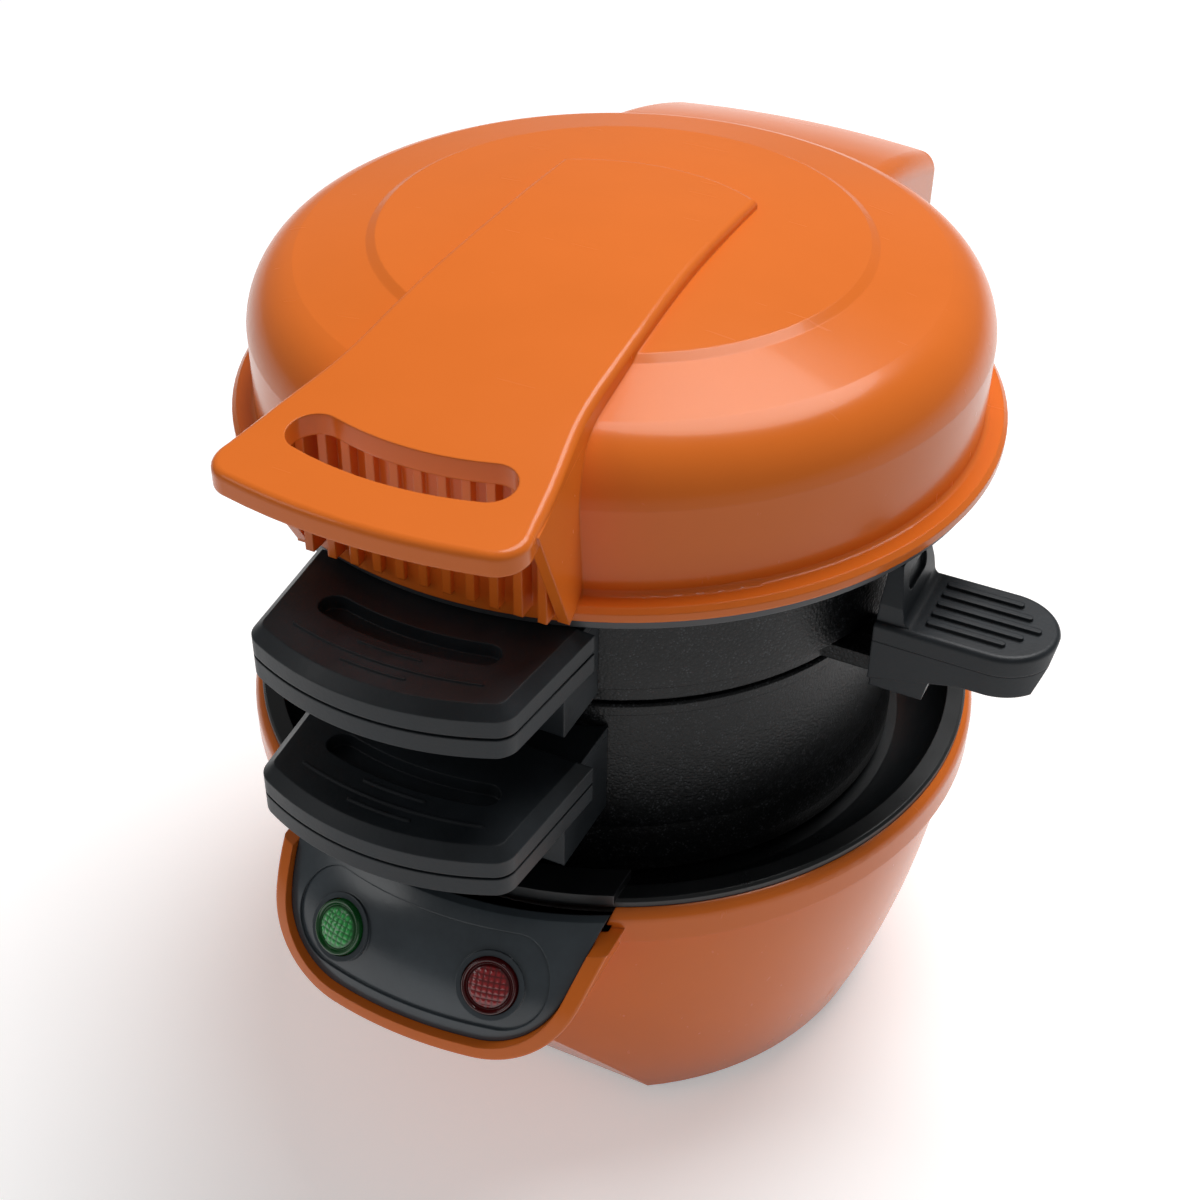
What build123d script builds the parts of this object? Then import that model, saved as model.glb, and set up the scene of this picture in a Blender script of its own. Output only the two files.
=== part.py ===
from build123d import *
from math import asin, atan2, cos, radians, sin, sqrt
import os

# A breakfast sandwich maker: a round base with a hot plate, two stacked rings with
# a swivelling cooking plate between them, and a domed lid, all on one rear hinge.
# It is drawn about the rings' upright axis, with the floor at z = 0, the front at -Y
# and the hinge at +Y. The finished pieces are moved so that the middle of the whole
# object's box is the origin.

# ---- Heights, from the floor up ----
foot_height = 3.0
base_height = 63.0
dish_depth = 7.5
hot_plate_drop = 6.0
ring_seat_gap = 0.5
bottom_ring_height = 37.5
ring_gap = 6.0
top_ring_height = 18.0
lid_gap = 2.2
liner_thickness = 2.1
flange_height = 2.2
dome_height = 30.5
tongue_rise = 1.6

shell_bottom = foot_height
rim_top = shell_bottom + base_height
plate_top = rim_top - hot_plate_drop
trough_z = rim_top - dish_depth
bottom_ring_z = plate_top + ring_seat_gap
bottom_ring_top = bottom_ring_z + bottom_ring_height
top_ring_z = bottom_ring_top + ring_gap
top_ring_top = top_ring_z + top_ring_height
liner_z = top_ring_top + lid_gap
flange_z = liner_z + liner_thickness
flange_top = flange_z + flange_height
dome_top = flange_top + dome_height
tongue_top = dome_top + tongue_rise

# ---- Rings, whose bore sets every other radius ----
ring_bore_radius = 51.0
bottom_ring_wall = 1.8
bottom_ring_flare = 1.4
bottom_ring_flare_height = 3.0
bottom_ring_lip_width = 2.6
bottom_ring_lip_height = 2.6
bottom_ring_edge = 0.4
top_ring_step = 2.0
top_ring_wall = 3.6
top_ring_taper = 0.6
top_ring_edge = 0.8

bottom_ring_radius = ring_bore_radius + bottom_ring_wall
top_ring_bore_radius = ring_bore_radius + top_ring_step
top_ring_radius = top_ring_bore_radius + top_ring_wall

# ---- Dish, hot plates and heaters ----
dish_floor_gap = 1.8
dish_slope_width = 11.7
dish_thickness = 1.6
dish_hole_gap = 2.1
dish_rim_inset = 1.6
dish_lip_half_width = 29.5
dish_lip_rise = 2.2
dish_lip_width = 6.1
dish_lip_overhang = 0.6
dish_wall_gap = 1.2
dish_edge = 0.48
dish_low_curve = (0.67, 0.21)
dish_top_curve = (0.56, 0.29)
hot_plate_gap = 0.7
hot_plate_thickness = 5.0
hot_plate_rounding = 1.2
heater_inset = 13.3
heater_tube_radius = 3.3
heater_open_angle = 12.0

dish_trough_radius = bottom_ring_radius + bottom_ring_flare + dish_floor_gap
hot_plate_radius = ring_bore_radius - hot_plate_gap
dish_hole_radius = hot_plate_radius + dish_hole_gap
heater_ring_radius = hot_plate_radius - heater_inset

# ---- Base shell ----
shell_wall = 2.2
bowl_taper = 11.2
bowl_bulge = 2.4
rim_overhang = 2.1
rim_height = 7.5
rim_rounding = 2.4
rim_lower_edge = 0.6
rim_ledge_width = 3.4
rim_lap = 1.0
rim_notch_wall = 0.8
front_cut_setback = 9.2
front_slope = 1.574

bowl_top_radius = dish_trough_radius + dish_slope_width
bowl_bottom_radius = bowl_top_radius - bowl_taper
rim_radius = bowl_top_radius + rim_overhang
ledge_radius = rim_radius - rim_ledge_width
dish_rim_radius = rim_radius - dish_rim_inset
front_cut_y = front_cut_setback - bowl_bottom_radius
beyond = 4 * rim_radius
arc_middle = 1 - sqrt(0.5)

# ---- Front console: a raised frame round a curved, leaning panel ----
console_half_width = 32.6
console_lower_half_width = 26.6
console_height = 23.0
console_corner_radius = 17.0
console_axis_y = -9.2
console_proud = 1.0
console_lean = 13.4
console_bow = 3.6
console_back = 40.0
console_overrun = 4.0
bezel_width = 3.0
bezel_rise = 1.6
bezel_rounding = 0.7
panel_thickness = 1.8
panel_gap = 0.15
panel_top_gap = 0.5
lamp_spacing = 29.2
lamp_rise = 13.3
lens_radius = 4.9
lens_gap = 0.1
lens_hole_gap = 1.0
lens_dome = 1.5
lens_curve_radius_share = 0.55
lens_curve_height_share = 0.72
lens_wall = 1.5
lens_length = 7.0
lens_collar_radius = 6.0
lens_collar_rise = 0.3
relief_depth = 0.5
relief_half_height = 7.4
relief_reach = 9.6

console_top_radius = rim_radius + console_axis_y + console_proud
console_bottom = rim_top - console_height
lamp_height = console_bottom + lamp_rise

# ---- Underside: cover, feet, screws and cord bush ----
cover_thickness = 2.0
cover_gap = 0.3
foot_radius = 6.5
foot_inset = 11.5
foot_angles = (48, 132, 222, 318)
screw_post_radius = 4.0
screw_post_gap = 0.3
screw_post_height = 20.0
screw_post_rib = 2.0
screw_angles = (20, 160, 200, 340)
screw_radius = 1.5
screw_play = 0.2
screw_thread_gap = 0.05
screw_head_radius = 3.0
screw_head_gap = 0.1
screw_head_height = 1.6
screw_length = 12.0
bush_height = 15.0
bush_radius = 5.5
bush_flange_radius = 7.5
bush_flange_thickness = 2.5
bush_outer_length = 9.0
bush_inner_length = 9.0
bush_bore_radius = 3.3
bush_gap = 0.1
bush_pad_radius = 8.5
bush_pad_rise = 1.5

foot_ring_radius = bowl_bottom_radius - foot_inset
screw_post_ring = bowl_bottom_radius - shell_wall - screw_post_radius - screw_post_gap

# ---- Parts inside the base ----
thermostat_radius = 8.0
thermostat_height = 7.0
thermostat_ear_half_length = 13.0
thermostat_ear_width = 7.0
thermostat_ear_thickness = 1.0
thermostat_pin_radius = 1.5
thermostat_pin_length = 6.0
thermostat_pin_recess = 1.5
fuse_radius = 2.0
fuse_length = 12.0
fuse_lead_radius = 0.5
fuse_lead_length = 5.0
fuse_y = 20.0
terminal_block_width = 22.0
terminal_block_depth = 12.0
terminal_block_height = 9.0
terminal_hole_radius = 2.0
terminal_floor = 2.0
terminal_inset = 12.5
bulb_radius = 2.4
bulb_length = 9.0
bulb_gap = 1.5

# ---- Cooking plate and its swivel ----
plate_overlap = 0.8
plate_thickness = 3.0
plate_lift = 1.3
pivot_angle = 45.0
pivot_clearance = 0.9
pivot_pin_radius = 2.5
pivot_boss_radius = 6.0
pivot_lug_height = 7.0
pivot_head_width = 2.0
pivot_head_height = 1.6
pivot_rivet_width = 1.2
running_gap = 0.05
seat_gap = 0.2

plate_radius = top_ring_bore_radius + plate_overlap
pivot_reach = top_ring_radius + pivot_boss_radius + pivot_clearance
plate_z = bottom_ring_top + plate_lift

# ---- Plate handle, which points along +X ----
plate_handle_y = -17.3
plate_handle_width = 18.4
plate_handle_clearance = 1.4
plate_handle_length = 28.0
plate_handle_height = 14.2
plate_handle_cap = 3.6
plate_handle_root_length = 9.0
plate_handle_root_width = 15.0
plate_handle_root_lift = 2.8
plate_handle_tip_lift = 6.4
plate_handle_tip_scoop = 2.0
plate_handle_tip_length = 9.5
plate_handle_edge = 1.0
plate_tang_length = 7.5
plate_tang_width = 11.0
plate_screw_setback = 4.5
plate_screw_cover = 2.0
plate_peg_radius = 2.0
plate_peg_height = 2.0
plate_peg_setback = 20.0
guard_height = 10.2
guard_foot = 4.5
guard_tip = 2.2
guard_lean = 1.6
guard_taper = 3.0
guard_fillet = 1.6
guard_dimple_width = 3.4
guard_dimple_depth = 0.8
grip_rib_count = 5
grip_rib_pitch = 2.8
grip_rib_width = 1.1
grip_rib_height = 0.6
grip_rib_start = 7.6
grip_rib_reach = 17.4
grip_rib_fall = 0.78

# ---- Ring handles ----
handle_reach = 26.9
handle_half_width = 22.3
handle_bow = 5.5
handle_corner_radius = 4.0
handle_thickness = 10.0
handle_split = 5.2
handle_top_bevel = 1.9
handle_low_bevel = 1.2
handle_parting_groove = 0.5
handle_gap = 0.3
handle_root_depth = 8.0
handle_root_half_width = 21.5
handle_root_drop = 3.6
top_root_drop = 0.6
bottom_root_height = 21.5
handle_back_depth = 7.4
handle_back_half_width = 24.5
handle_slot_half_length = 13.0
handle_slot_width = 5.0
handle_slot_depth = 2.5
handle_slot_setback = 8.3
handle_slot_bow = 1.6
handle_mark_rise = 0.3
handle_mark_width = 0.5
handle_mark_half_lengths = (5.3, 16.0, 5.3)
handle_mark_setbacks = (9.5, 6.8, 4.8)
handle_mark_bow_radius = 59.0
handle_screw_x = 14.0
handle_screw_setback = 16.0
handle_screw_grip = 3.0
handle_screw_cover = 1.5
top_handle_lift = 1.7
bottom_handle_drop = 1.4
bottom_handle_shift = -1.5
tang_half_width = 7.0
tang_length = 16.0
tang_thickness = 3.0
tang_gap = 0.1

handle_corner_y = -top_ring_radius - handle_reach

# ---- Hinge at the rear, its pin along X ----
hinge_setback = 8.2
hinge_rise = 8.0
pin_radius = 2.5
knuckle_radius = 6.0
knuckle_width = 5.2
knuckle_gap = 0.6
knuckle_neck = 4.2
post_width = 6.0
hub_half_gap = 4.0
cheek_end_wall = 1.4
tower_wall = 2.5
tower_foot_rise = 27.0
tower_depth = 13.5
tower_root = 12.0
tower_cap = 2.0
tower_slope = 6.0
tower_slope_low = 10.0
tower_slope_high = 20.0
post_lean = 1.5
web_drop = 14.0
bottom_arm_depth = 14.0
bottom_arm_drop = 1.5
top_arm_drop = 2.0
cheek_inset = 3.0

hinge_y = rim_radius + hinge_setback
hinge_z = top_ring_z + hinge_rise
tower_foot_z = shell_bottom + tower_foot_rise
tower_rear_y = hinge_y + knuckle_radius
tower_front_y = tower_rear_y - tower_depth

# ---- Lid ----
lid_wall = 2.2
flange_overhang = 10.9
flange_width = 4.0
flange_edge = 0.8
flange_curb = 0.9
dome_wall_height = 15.0
dome_shoulder_inset = 8.5
dome_shoulder_drop = 5.6
dome_bulge = (0.3, 0.6)
disc_inset = 21.5
disc_drop = 2.2
disc_step = 0.9
disc_bevel = 1.6
tongue_reach = 17.8
tongue_bow = 3.2
tongue_front_half_width = 25.9
tongue_flare = 0.23
tongue_half_widths = ((16.8, 22.9), (29.3, 20.4), (43.3, 19.6), (80.3, 18.3))
tongue_top_line = ((-9.7, 8.5), (1.3, 7.6), (12.3, 6.5), (30.3, 3.9),
                   (48.3, 1.7), (77.3, 0.1), (93.3, 0.4), (112.3, 1.6))
tongue_rear_y = 14.0
tongue_rear_bow = 6.0
tongue_corner_radius = 5.0
tongue_droop = 8.3
tongue_rounding = 1.2
grip_thickness = 3.5
slot_half_length = 14.2
slot_width = 8.2
slot_setback = 10.4
slot_bow = 1.9
grille_overhang = 0.3
grille_reach = 1.3
grille_rib_count = 11
grille_rib_pitch = 4.0
grille_rib_width = 1.5
gusset_width = 2.0
gusset_draft = 1.0
gusset_reach = 12.5
gusset_setback = 0.6
gusset_lap = 0.4
hinge_box_half_width = 29.4
hinge_box_depth = 11.0
hinge_box_bow = 1.8
hinge_box_corner = 4.0
hinge_box_drop = 15.8
hinge_box_crown = 1.5
hinge_box_roof_radius = 210.0
hinge_box_roof_angle = 20.7
hinge_box_roof_turn = 60.0
liner_inset = 1.2
liner_screw_inset = 6.5
liner_screw_angles = (30, 150, 210, 330)
liner_hole_gap = 0.5
plate_boss_inset = 3.8
plate_boss_radius = 3.0
upper_plate_drop = 7.2
upper_plate_thickness = 6.0

flange_radius = top_ring_radius + flange_overhang
dome_wall_radius = flange_radius - flange_width
flange_foot_radius = dome_wall_radius + flange_curb
dome_shoulder_radius = dome_wall_radius - dome_shoulder_inset
disc_radius = dome_wall_radius - disc_inset
grille_radius = flange_radius + grille_overhang
grille_front = flange_radius + grille_reach
gusset_foot = flange_radius - gusset_setback
tongue_corner_y = -flange_radius - tongue_reach
tongue_front_y = tongue_corner_y - tongue_bow
hinge_box_rear_y = hinge_y + hinge_box_depth
hinge_box_top = dome_top - hinge_box_drop
liner_radius = flange_radius - liner_inset
liner_screw_ring = dome_wall_radius - liner_screw_inset
plate_boss_ring = hot_plate_radius - plate_boss_inset
liner_hole_radius = plate_boss_ring - plate_boss_radius - liner_hole_gap
upper_plate_z = liner_z - upper_plate_drop

# ======================= Base shell =======================


def bowl_radius(height):
    """Outer radius of the bulging bowl at a height."""
    share = (height - shell_bottom) / (rim_top - rim_lap - shell_bottom)
    return bowl_bottom_radius + bowl_taper * share + 4 * bowl_bulge * share * (1 - share)


def bowl_section(inset, bottom, top):
    """Half section of the bowl, its bulging wall moved inwards by inset."""
    foot = (bowl_bottom_radius - inset, bottom)
    rim = (bowl_top_radius - inset, top)
    middle = ((foot[0] + rim[0]) / 2 + bowl_bulge, (bottom + top) / 2)
    with BuildSketch(Plane.XZ) as section:
        with BuildLine():
            ThreePointArc(foot, middle, rim)
            Polyline(rim, (0, top), (0, bottom), foot)
        make_face()
    return section.sketch


console_axis = Axis((0, console_axis_y, 0), (0, 0, 1))
console_plane = Plane.XZ.offset(console_back)


def console_radius(height):
    """Radius of the panel's face about its own axis at a height."""
    share = (rim_top - height) / console_height
    bow = console_bow * 4 * share * (1 - share)
    return console_top_radius + console_lean * share + bow


def console_section(rise, core=0):
    """Half section of the console out to its face plus a rise, from a radius or an inner offset."""
    heights = (console_bottom - console_overrun, rim_top - console_height / 2, rim_top + console_overrun / 2)
    outer = [(console_radius(h) + rise, h) for h in heights]
    inner = [(console_radius(h) + core, h) for h in heights]
    with BuildSketch(Plane((0, console_axis_y, 0), x_dir=(1, 0, 0), z_dir=(0, -1, 0))) as section:
        with BuildLine():
            ThreePointArc(*outer)
            if core < 0:
                ThreePointArc(*inner)
                Line(outer[0], inner[0])
                Line(outer[2], inner[2])
            else:
                Polyline(outer[2], (0, outer[2][1]), (0, outer[0][1]), outer[0])
        make_face()
    return section.sketch


def console_outline(inset, top):
    """Front view of the console: wide, with large lower corners."""
    low = console_bottom + inset
    flare = (console_half_width - console_lower_half_width) / console_height
    half = console_lower_half_width + flare * (top - console_bottom) - inset
    lower_half = console_lower_half_width + flare * inset - inset
    with BuildSketch(console_plane) as outline:
        with BuildLine():
            Polyline((-half, top), (-lower_half, low), (lower_half, low), (half, top), close=True)
        make_face()
        fillet(outline.vertices().sort_by(Axis.Y)[:2], console_corner_radius - inset)
    return outline.sketch


def front_cut(inset):
    """Region below the slanted front of the base, seen from the side."""
    start = front_cut_y + inset * sqrt(1 + front_slope ** 2) / front_slope
    top = console_bottom + inset
    reach = (top - shell_bottom) / front_slope
    with BuildSketch(Plane.YZ) as region:
        with BuildLine():
            Polyline((start, shell_bottom), (start - reach, top), (-beyond, top), (-beyond, -foot_height),
                     (start, -foot_height), close=True)
        make_face()
    return region.sketch


bush_face_y = bowl_radius(shell_bottom + bush_height + bush_pad_radius) + bush_pad_rise
bush_plane = Plane(origin=(0, bush_face_y, shell_bottom + bush_height), z_dir=(0, 1, 0))

with BuildPart() as console_block:
    revolve(console_section(bezel_rise), axis=console_axis)
    extrude(console_outline(0, rim_top - rim_ledge_width), amount=beyond, mode=Mode.INTERSECT)
    front = console_block.faces().filter_by(GeomType.PLANE, reverse=True).sort_by(SortBy.AREA)[-1]
    fillet(front.edges().sort_by(Axis.Z)[:-1], bezel_rounding)

with BuildPart() as base_outside:
    add(console_block.part)
    revolve(bowl_section(0, shell_bottom, rim_top - rim_lap), axis=Axis.Z)
    extrude(front_cut(0), amount=beyond, both=True, mode=Mode.SUBTRACT)
    with BuildSketch(bush_plane):
        Circle(bush_pad_radius)
    extrude(amount=-bush_inner_length)

with BuildPart() as base_hollow:
    revolve(console_section(-panel_thickness - shell_wall), axis=console_axis)
    extrude(console_outline(shell_wall, rim_top + rim_lap), amount=beyond, mode=Mode.INTERSECT)
    revolve(bowl_section(shell_wall, shell_bottom, rim_top + rim_lap), axis=Axis.Z)
    extrude(front_cut(shell_wall), amount=beyond, both=True, mode=Mode.SUBTRACT)

with BuildPart() as panel_recess:
    revolve(console_section(bezel_width + bezel_rise, -panel_thickness), axis=console_axis)
    with BuildSketch(Plane.XY.offset(rim_top - rim_rounding - rim_lower_edge)):
        Circle(rim_radius + console_overrun)
        Circle(ledge_radius + rim_notch_wall, mode=Mode.SUBTRACT)
    extrude(amount=rim_height)
    extrude(console_outline(bezel_width, rim_top + rim_height), amount=beyond, mode=Mode.INTERSECT)


# Places of the hinge's leaves along X, from the middle outwards.
bottom_arm_x = hub_half_gap
top_arm_x = bottom_arm_x + knuckle_width + knuckle_gap
post_x = top_arm_x + knuckle_width + knuckle_gap
cheek_x = post_x + post_width + knuckle_gap
hinge_place = Location((0, hinge_y, hinge_z), (0, 90, 0))


def leaf(outline, start, width):
    """A pair of plates from an outline in the YZ plane, at x from start outwards."""
    return [extrude(Plane.YZ.offset(side * start) * outline, amount=side * width, mode=Mode.PRIVATE)
            for side in (1, -1)]


def hinge_outline(points):
    """An arm seen from the side: a polygon joined to a round knuckle at the hinge."""
    with BuildSketch() as outline:
        with BuildLine():
            Polyline(*points, close=True)
        make_face()
        with Locations((hinge_y, hinge_z)):
            Circle(knuckle_radius)
    return outline.sketch


tower_root_y = tower_front_y - tower_root
tower_wall_y = tower_rear_y - tower_wall
tower_back = [(tower_root_y, tower_foot_z), (tower_rear_y - tower_slope, tower_foot_z + tower_slope_low),
              (tower_rear_y, tower_foot_z + tower_slope_high)]
with BuildPart() as tower:
    post_points = tower_back + [(tower_rear_y, hinge_z), (tower_front_y + post_lean, hinge_z),
                                (tower_front_y, hinge_z - tower_root), (tower_front_y, rim_top - tower_cap),
                                (tower_root_y, rim_top - tower_cap)]
    add(leaf(hinge_outline(post_points), post_x, post_width))
    with BuildSketch(Plane.YZ):
        with BuildLine():
            Polyline(*tower_back, (tower_rear_y, hinge_z - web_drop), (tower_wall_y, hinge_z - web_drop),
                     (tower_wall_y, rim_top - tower_cap), (tower_root_y, rim_top - tower_cap), close=True)
        make_face()
        with BuildLine():
            Polyline((tower_root_y, tower_foot_z + tower_wall),
                     (tower_rear_y - tower_slope, tower_foot_z + tower_slope_low + tower_wall),
                     (tower_wall_y, tower_foot_z + tower_slope_high + tower_wall),
                     (tower_wall_y, rim_top - tower_cap - tower_wall),
                     (tower_root_y, rim_top - tower_cap - tower_wall), close=True)
        make_face(mode=Mode.SUBTRACT)
    extrude(amount=post_x + post_width, both=True)

with BuildPart() as screw_posts:
    with BuildSketch(Plane.XY.offset(shell_bottom + cover_thickness)):
        for angle in screw_angles:
            with Locations(Rot(0, 0, angle) * Pos(screw_post_ring, 0)):
                Circle(screw_post_radius)
                Rectangle(4 * screw_post_radius, screw_post_rib, align=(Align.MIN, Align.CENTER))
    extrude(amount=screw_post_height)
    add(base_outside.part, mode=Mode.INTERSECT)
    for angle in screw_angles:
        with Locations(Pos(0, 0, shell_bottom) * Rot(0, 0, angle) * Pos(screw_post_ring, 0)):
            Cylinder(screw_radius, 2 * (screw_length + seat_gap), mode=Mode.SUBTRACT)


def surface_plane(x, height):
    """A plane on the panel's face, looking outwards."""
    radius = console_radius(height)
    turn = asin(x / radius)
    rise = console_radius(height - lens_radius) - console_radius(height + lens_radius)
    lean = atan2(rise, 2 * lens_radius)
    normal = Vector(sin(turn) * cos(lean), -cos(turn) * cos(lean), sin(lean))
    spot = Vector(x, console_axis_y - radius * cos(turn), height)
    return Plane(origin=spot, x_dir=Vector(cos(turn), sin(turn), 0), z_dir=normal)


green_plane = surface_plane(-lamp_spacing / 2, lamp_height)
red_plane = surface_plane(lamp_spacing / 2, lamp_height)
lamp_planes = (green_plane, red_plane)
lens_hole_depth = 2 * lens_length

with BuildPart() as base_shell:
    add(base_outside.part)
    with BuildSketch(Plane.XZ):
        rim_low = rim_top - rim_height
        bevel = arc_middle * rim_rounding
        with BuildLine():
            Polyline((bowl_top_radius - rim_lap, rim_low), (rim_radius - rim_lower_edge, rim_low),
                     (rim_radius, rim_low + rim_lower_edge), (rim_radius, rim_top - rim_rounding))
            ThreePointArc((rim_radius, rim_top - rim_rounding), (rim_radius - bevel, rim_top - bevel),
                          (rim_radius - rim_rounding, rim_top))
            Polyline((rim_radius - rim_rounding, rim_top), (ledge_radius, rim_top), (ledge_radius, rim_low),
                     (bowl_top_radius - rim_lap, rim_low))
        make_face()
    revolve(axis=Axis.Z)
    add(tower.part)
    add(base_hollow.part, mode=Mode.SUBTRACT)
    add(panel_recess.part, mode=Mode.SUBTRACT)
    add(screw_posts.part)
    for plane in lamp_planes:
        with Locations(plane.location):
            Cylinder(lens_radius + lens_hole_gap, 2 * lens_hole_depth, mode=Mode.SUBTRACT)
    with Locations(bush_plane.location):
        Cylinder(bush_radius + bush_gap, 4 * bush_inner_length, mode=Mode.SUBTRACT)
    with Locations(hinge_place):
        Cylinder(pin_radius, 2 * cheek_x, mode=Mode.SUBTRACT)

# ======================= Console: panel, lenses, bulbs =======================

with BuildPart() as lamp_dish:
    revolve(console_section(bezel_rise, -relief_depth), axis=console_axis)
    with BuildSketch(console_plane):
        with Locations((0, lamp_height)):
            SlotCenterToCenter(lamp_spacing + 2 * (relief_reach - relief_half_height), 2 * relief_half_height)
    extrude(amount=beyond, mode=Mode.INTERSECT)

with BuildPart() as control_panel:
    revolve(console_section(0, -panel_thickness), axis=console_axis)
    extrude(console_outline(bezel_width + panel_gap, rim_top - panel_top_gap), amount=beyond,
            mode=Mode.INTERSECT)
    add(lamp_dish.part, mode=Mode.SUBTRACT)
    for plane in lamp_planes:
        with Locations(plane.location * Pos(0, 0, lens_collar_rise)):
            Cylinder(lens_collar_radius, lens_collar_rise + relief_depth + panel_thickness / 2,
                     align=(Align.CENTER, Align.CENTER, Align.MAX))
        with Locations(plane.location):
            Cylinder(lens_radius + lens_gap, 2 * lens_hole_depth, mode=Mode.SUBTRACT)


def lens(plane):
    """A domed lamp lens, hollow behind, pushed into its collar."""
    face = lens_collar_rise
    inner = lens_radius - lens_wall / 2
    middle = (lens_radius * lens_curve_radius_share, face + lens_dome * lens_curve_height_share)
    with BuildPart() as body:
        with BuildSketch(Plane.XZ):
            with BuildLine():
                ThreePointArc((0, face + lens_dome), middle, (lens_radius, face))
                Polyline((lens_radius, face), (lens_radius, face - lens_length), (inner, face - lens_length),
                         (inner, face - lens_wall), (0, face - lens_wall), (0, face + lens_dome))
            make_face()
        revolve(axis=Axis.Z)
    with BuildPart() as placed:
        add(body.part.moved(plane.location))
    return placed


green_lens = lens(green_plane)
red_lens = lens(red_plane)

with BuildPart() as neon_bulbs:
    for plane in lamp_planes:
        with Locations(plane.location * Pos(0, 0, lens_collar_rise - lens_wall - bulb_gap)):
            Cylinder(bulb_radius, bulb_length, align=(Align.CENTER, Align.CENTER, Align.MAX))

# ======================= Dish and hot plates =======================

with BuildPart() as drip_dish:
    with BuildSketch(Plane.XZ):
        wall = ledge_radius - dish_wall_gap
        slope = wall - dish_trough_radius
        skin = dish_thickness
        low_middle = (dish_trough_radius + dish_low_curve[0] * slope,
                      trough_z + dish_low_curve[1] * dish_depth - skin)
        top_middle = (dish_trough_radius + dish_top_curve[0] * slope,
                      trough_z + dish_top_curve[1] * dish_depth)
        with BuildLine():
            Line((dish_hole_radius, trough_z - skin), (dish_trough_radius, trough_z - skin))
            ThreePointArc((dish_trough_radius, trough_z - skin), low_middle, (wall, rim_top - skin))
            Polyline((wall, rim_top - skin), (wall, rim_top), (dish_rim_radius, rim_top),
                     (dish_rim_radius, rim_top + skin - dish_edge),
                     (dish_rim_radius - dish_edge, rim_top + skin), (wall - dish_edge, rim_top + skin))
            ThreePointArc((wall - dish_edge, rim_top + skin), top_middle, (dish_trough_radius, trough_z))
            Polyline((dish_trough_radius, trough_z), (dish_hole_radius, trough_z),
                     (dish_hole_radius, trough_z - skin))
        make_face()
    revolve(axis=Axis.Z)
    with BuildSketch(Plane.XY.offset(rim_top + dish_thickness - dish_edge)):
        Circle(dish_rim_radius + dish_lip_overhang)
        Circle(dish_rim_radius + dish_lip_overhang - dish_lip_width, mode=Mode.SUBTRACT)
        with Locations((0, -dish_rim_radius)):
            Rectangle(2 * dish_lip_half_width, dish_rim_radius, mode=Mode.INTERSECT)
    extrude(amount=dish_lip_rise)


def round_plate(low, thickness):
    """A flat round hot plate with rounded rims."""
    with BuildPart() as plate:
        with Locations((0, 0, low)):
            Cylinder(hot_plate_radius, thickness, align=(Align.CENTER, Align.CENTER, Align.MIN))
        fillet(plate.edges().filter_by(GeomType.CIRCLE), hot_plate_rounding)
    return plate


def heater(height):
    """A tubular heater bent into an open ring, open to the rear."""
    turn = radians(heater_open_angle)
    ends = [(side * heater_ring_radius * sin(turn), heater_ring_radius * cos(turn)) for side in (1, -1)]
    with BuildPart() as element:
        with BuildLine(Plane.XY.offset(height)) as path:
            arc = ThreePointArc(ends[0], (0, -heater_ring_radius), ends[1])
        with BuildSketch(Plane(origin=arc @ 0, z_dir=arc % 0)):
            Circle(heater_tube_radius)
        sweep(path=path.wires()[0])
    return element


thermostat_top = plate_top - hot_plate_thickness
lower_hot_plate = round_plate(thermostat_top, hot_plate_thickness)
lower_heater = heater(thermostat_top - heater_tube_radius)
with BuildPart() as thermostat:
    with Locations((0, 0, thermostat_top)):
        Cylinder(thermostat_radius, thermostat_height, align=(Align.CENTER, Align.CENTER, Align.MAX))
        Box(2 * thermostat_ear_half_length, thermostat_ear_width, thermostat_ear_thickness,
            align=(Align.CENTER, Align.CENTER, Align.MAX))
        Cylinder(thermostat_pin_radius + running_gap, 3 * thermostat_height, mode=Mode.SUBTRACT)
with BuildPart() as thermostat_pin:
    with Locations((0, 0, thermostat_top - thermostat_pin_recess)):
        Cylinder(thermostat_pin_radius, thermostat_pin_length, align=(Align.CENTER, Align.CENTER, Align.MAX))
with BuildPart() as thermal_fuse:
    with Locations(Location((0, fuse_y, thermostat_top - fuse_radius), (0, 90, 0))):
        Cylinder(fuse_radius, fuse_length)
        Cylinder(fuse_lead_radius, fuse_length + 2 * fuse_lead_length)
with BuildPart() as terminal_block:
    with Locations((0, bowl_bottom_radius - terminal_inset, shell_bottom + cover_thickness)):
        Box(terminal_block_width, terminal_block_depth, terminal_block_height,
            align=(Align.CENTER, Align.CENTER, Align.MIN))
    with Locations((0, bowl_bottom_radius - terminal_inset, shell_bottom + cover_thickness + terminal_floor)):
        with GridLocations(terminal_block_width / 3, 0, 3, 1):
            Cylinder(terminal_hole_radius, terminal_block_height, align=(Align.CENTER, Align.CENTER, Align.MIN),
                     mode=Mode.SUBTRACT)

# ======================= Underside =======================

with BuildPart() as bottom_cover:
    with BuildSketch(Plane.XY.offset(shell_bottom)):
        Circle(bowl_bottom_radius - shell_wall - cover_gap)
        with Locations((0, front_cut_y + 1.5 * shell_wall)):
            Rectangle(beyond, beyond, align=(Align.CENTER, Align.MIN), mode=Mode.INTERSECT)
    extrude(amount=cover_thickness)
    for angle in screw_angles:
        with Locations(Pos(0, 0, shell_bottom) * Rot(0, 0, angle) * Pos(screw_post_ring, 0) * Rot(180, 0, 0)):
            CounterSinkHole(screw_radius + screw_play, screw_head_radius, depth=2 * cover_thickness)
with BuildPart() as rubber_feet:
    for angle in foot_angles:
        with Locations(Rot(0, 0, angle) * Pos(foot_ring_radius, 0)):
            Cylinder(foot_radius, foot_height, align=(Align.CENTER, Align.CENTER, Align.MIN))


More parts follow.
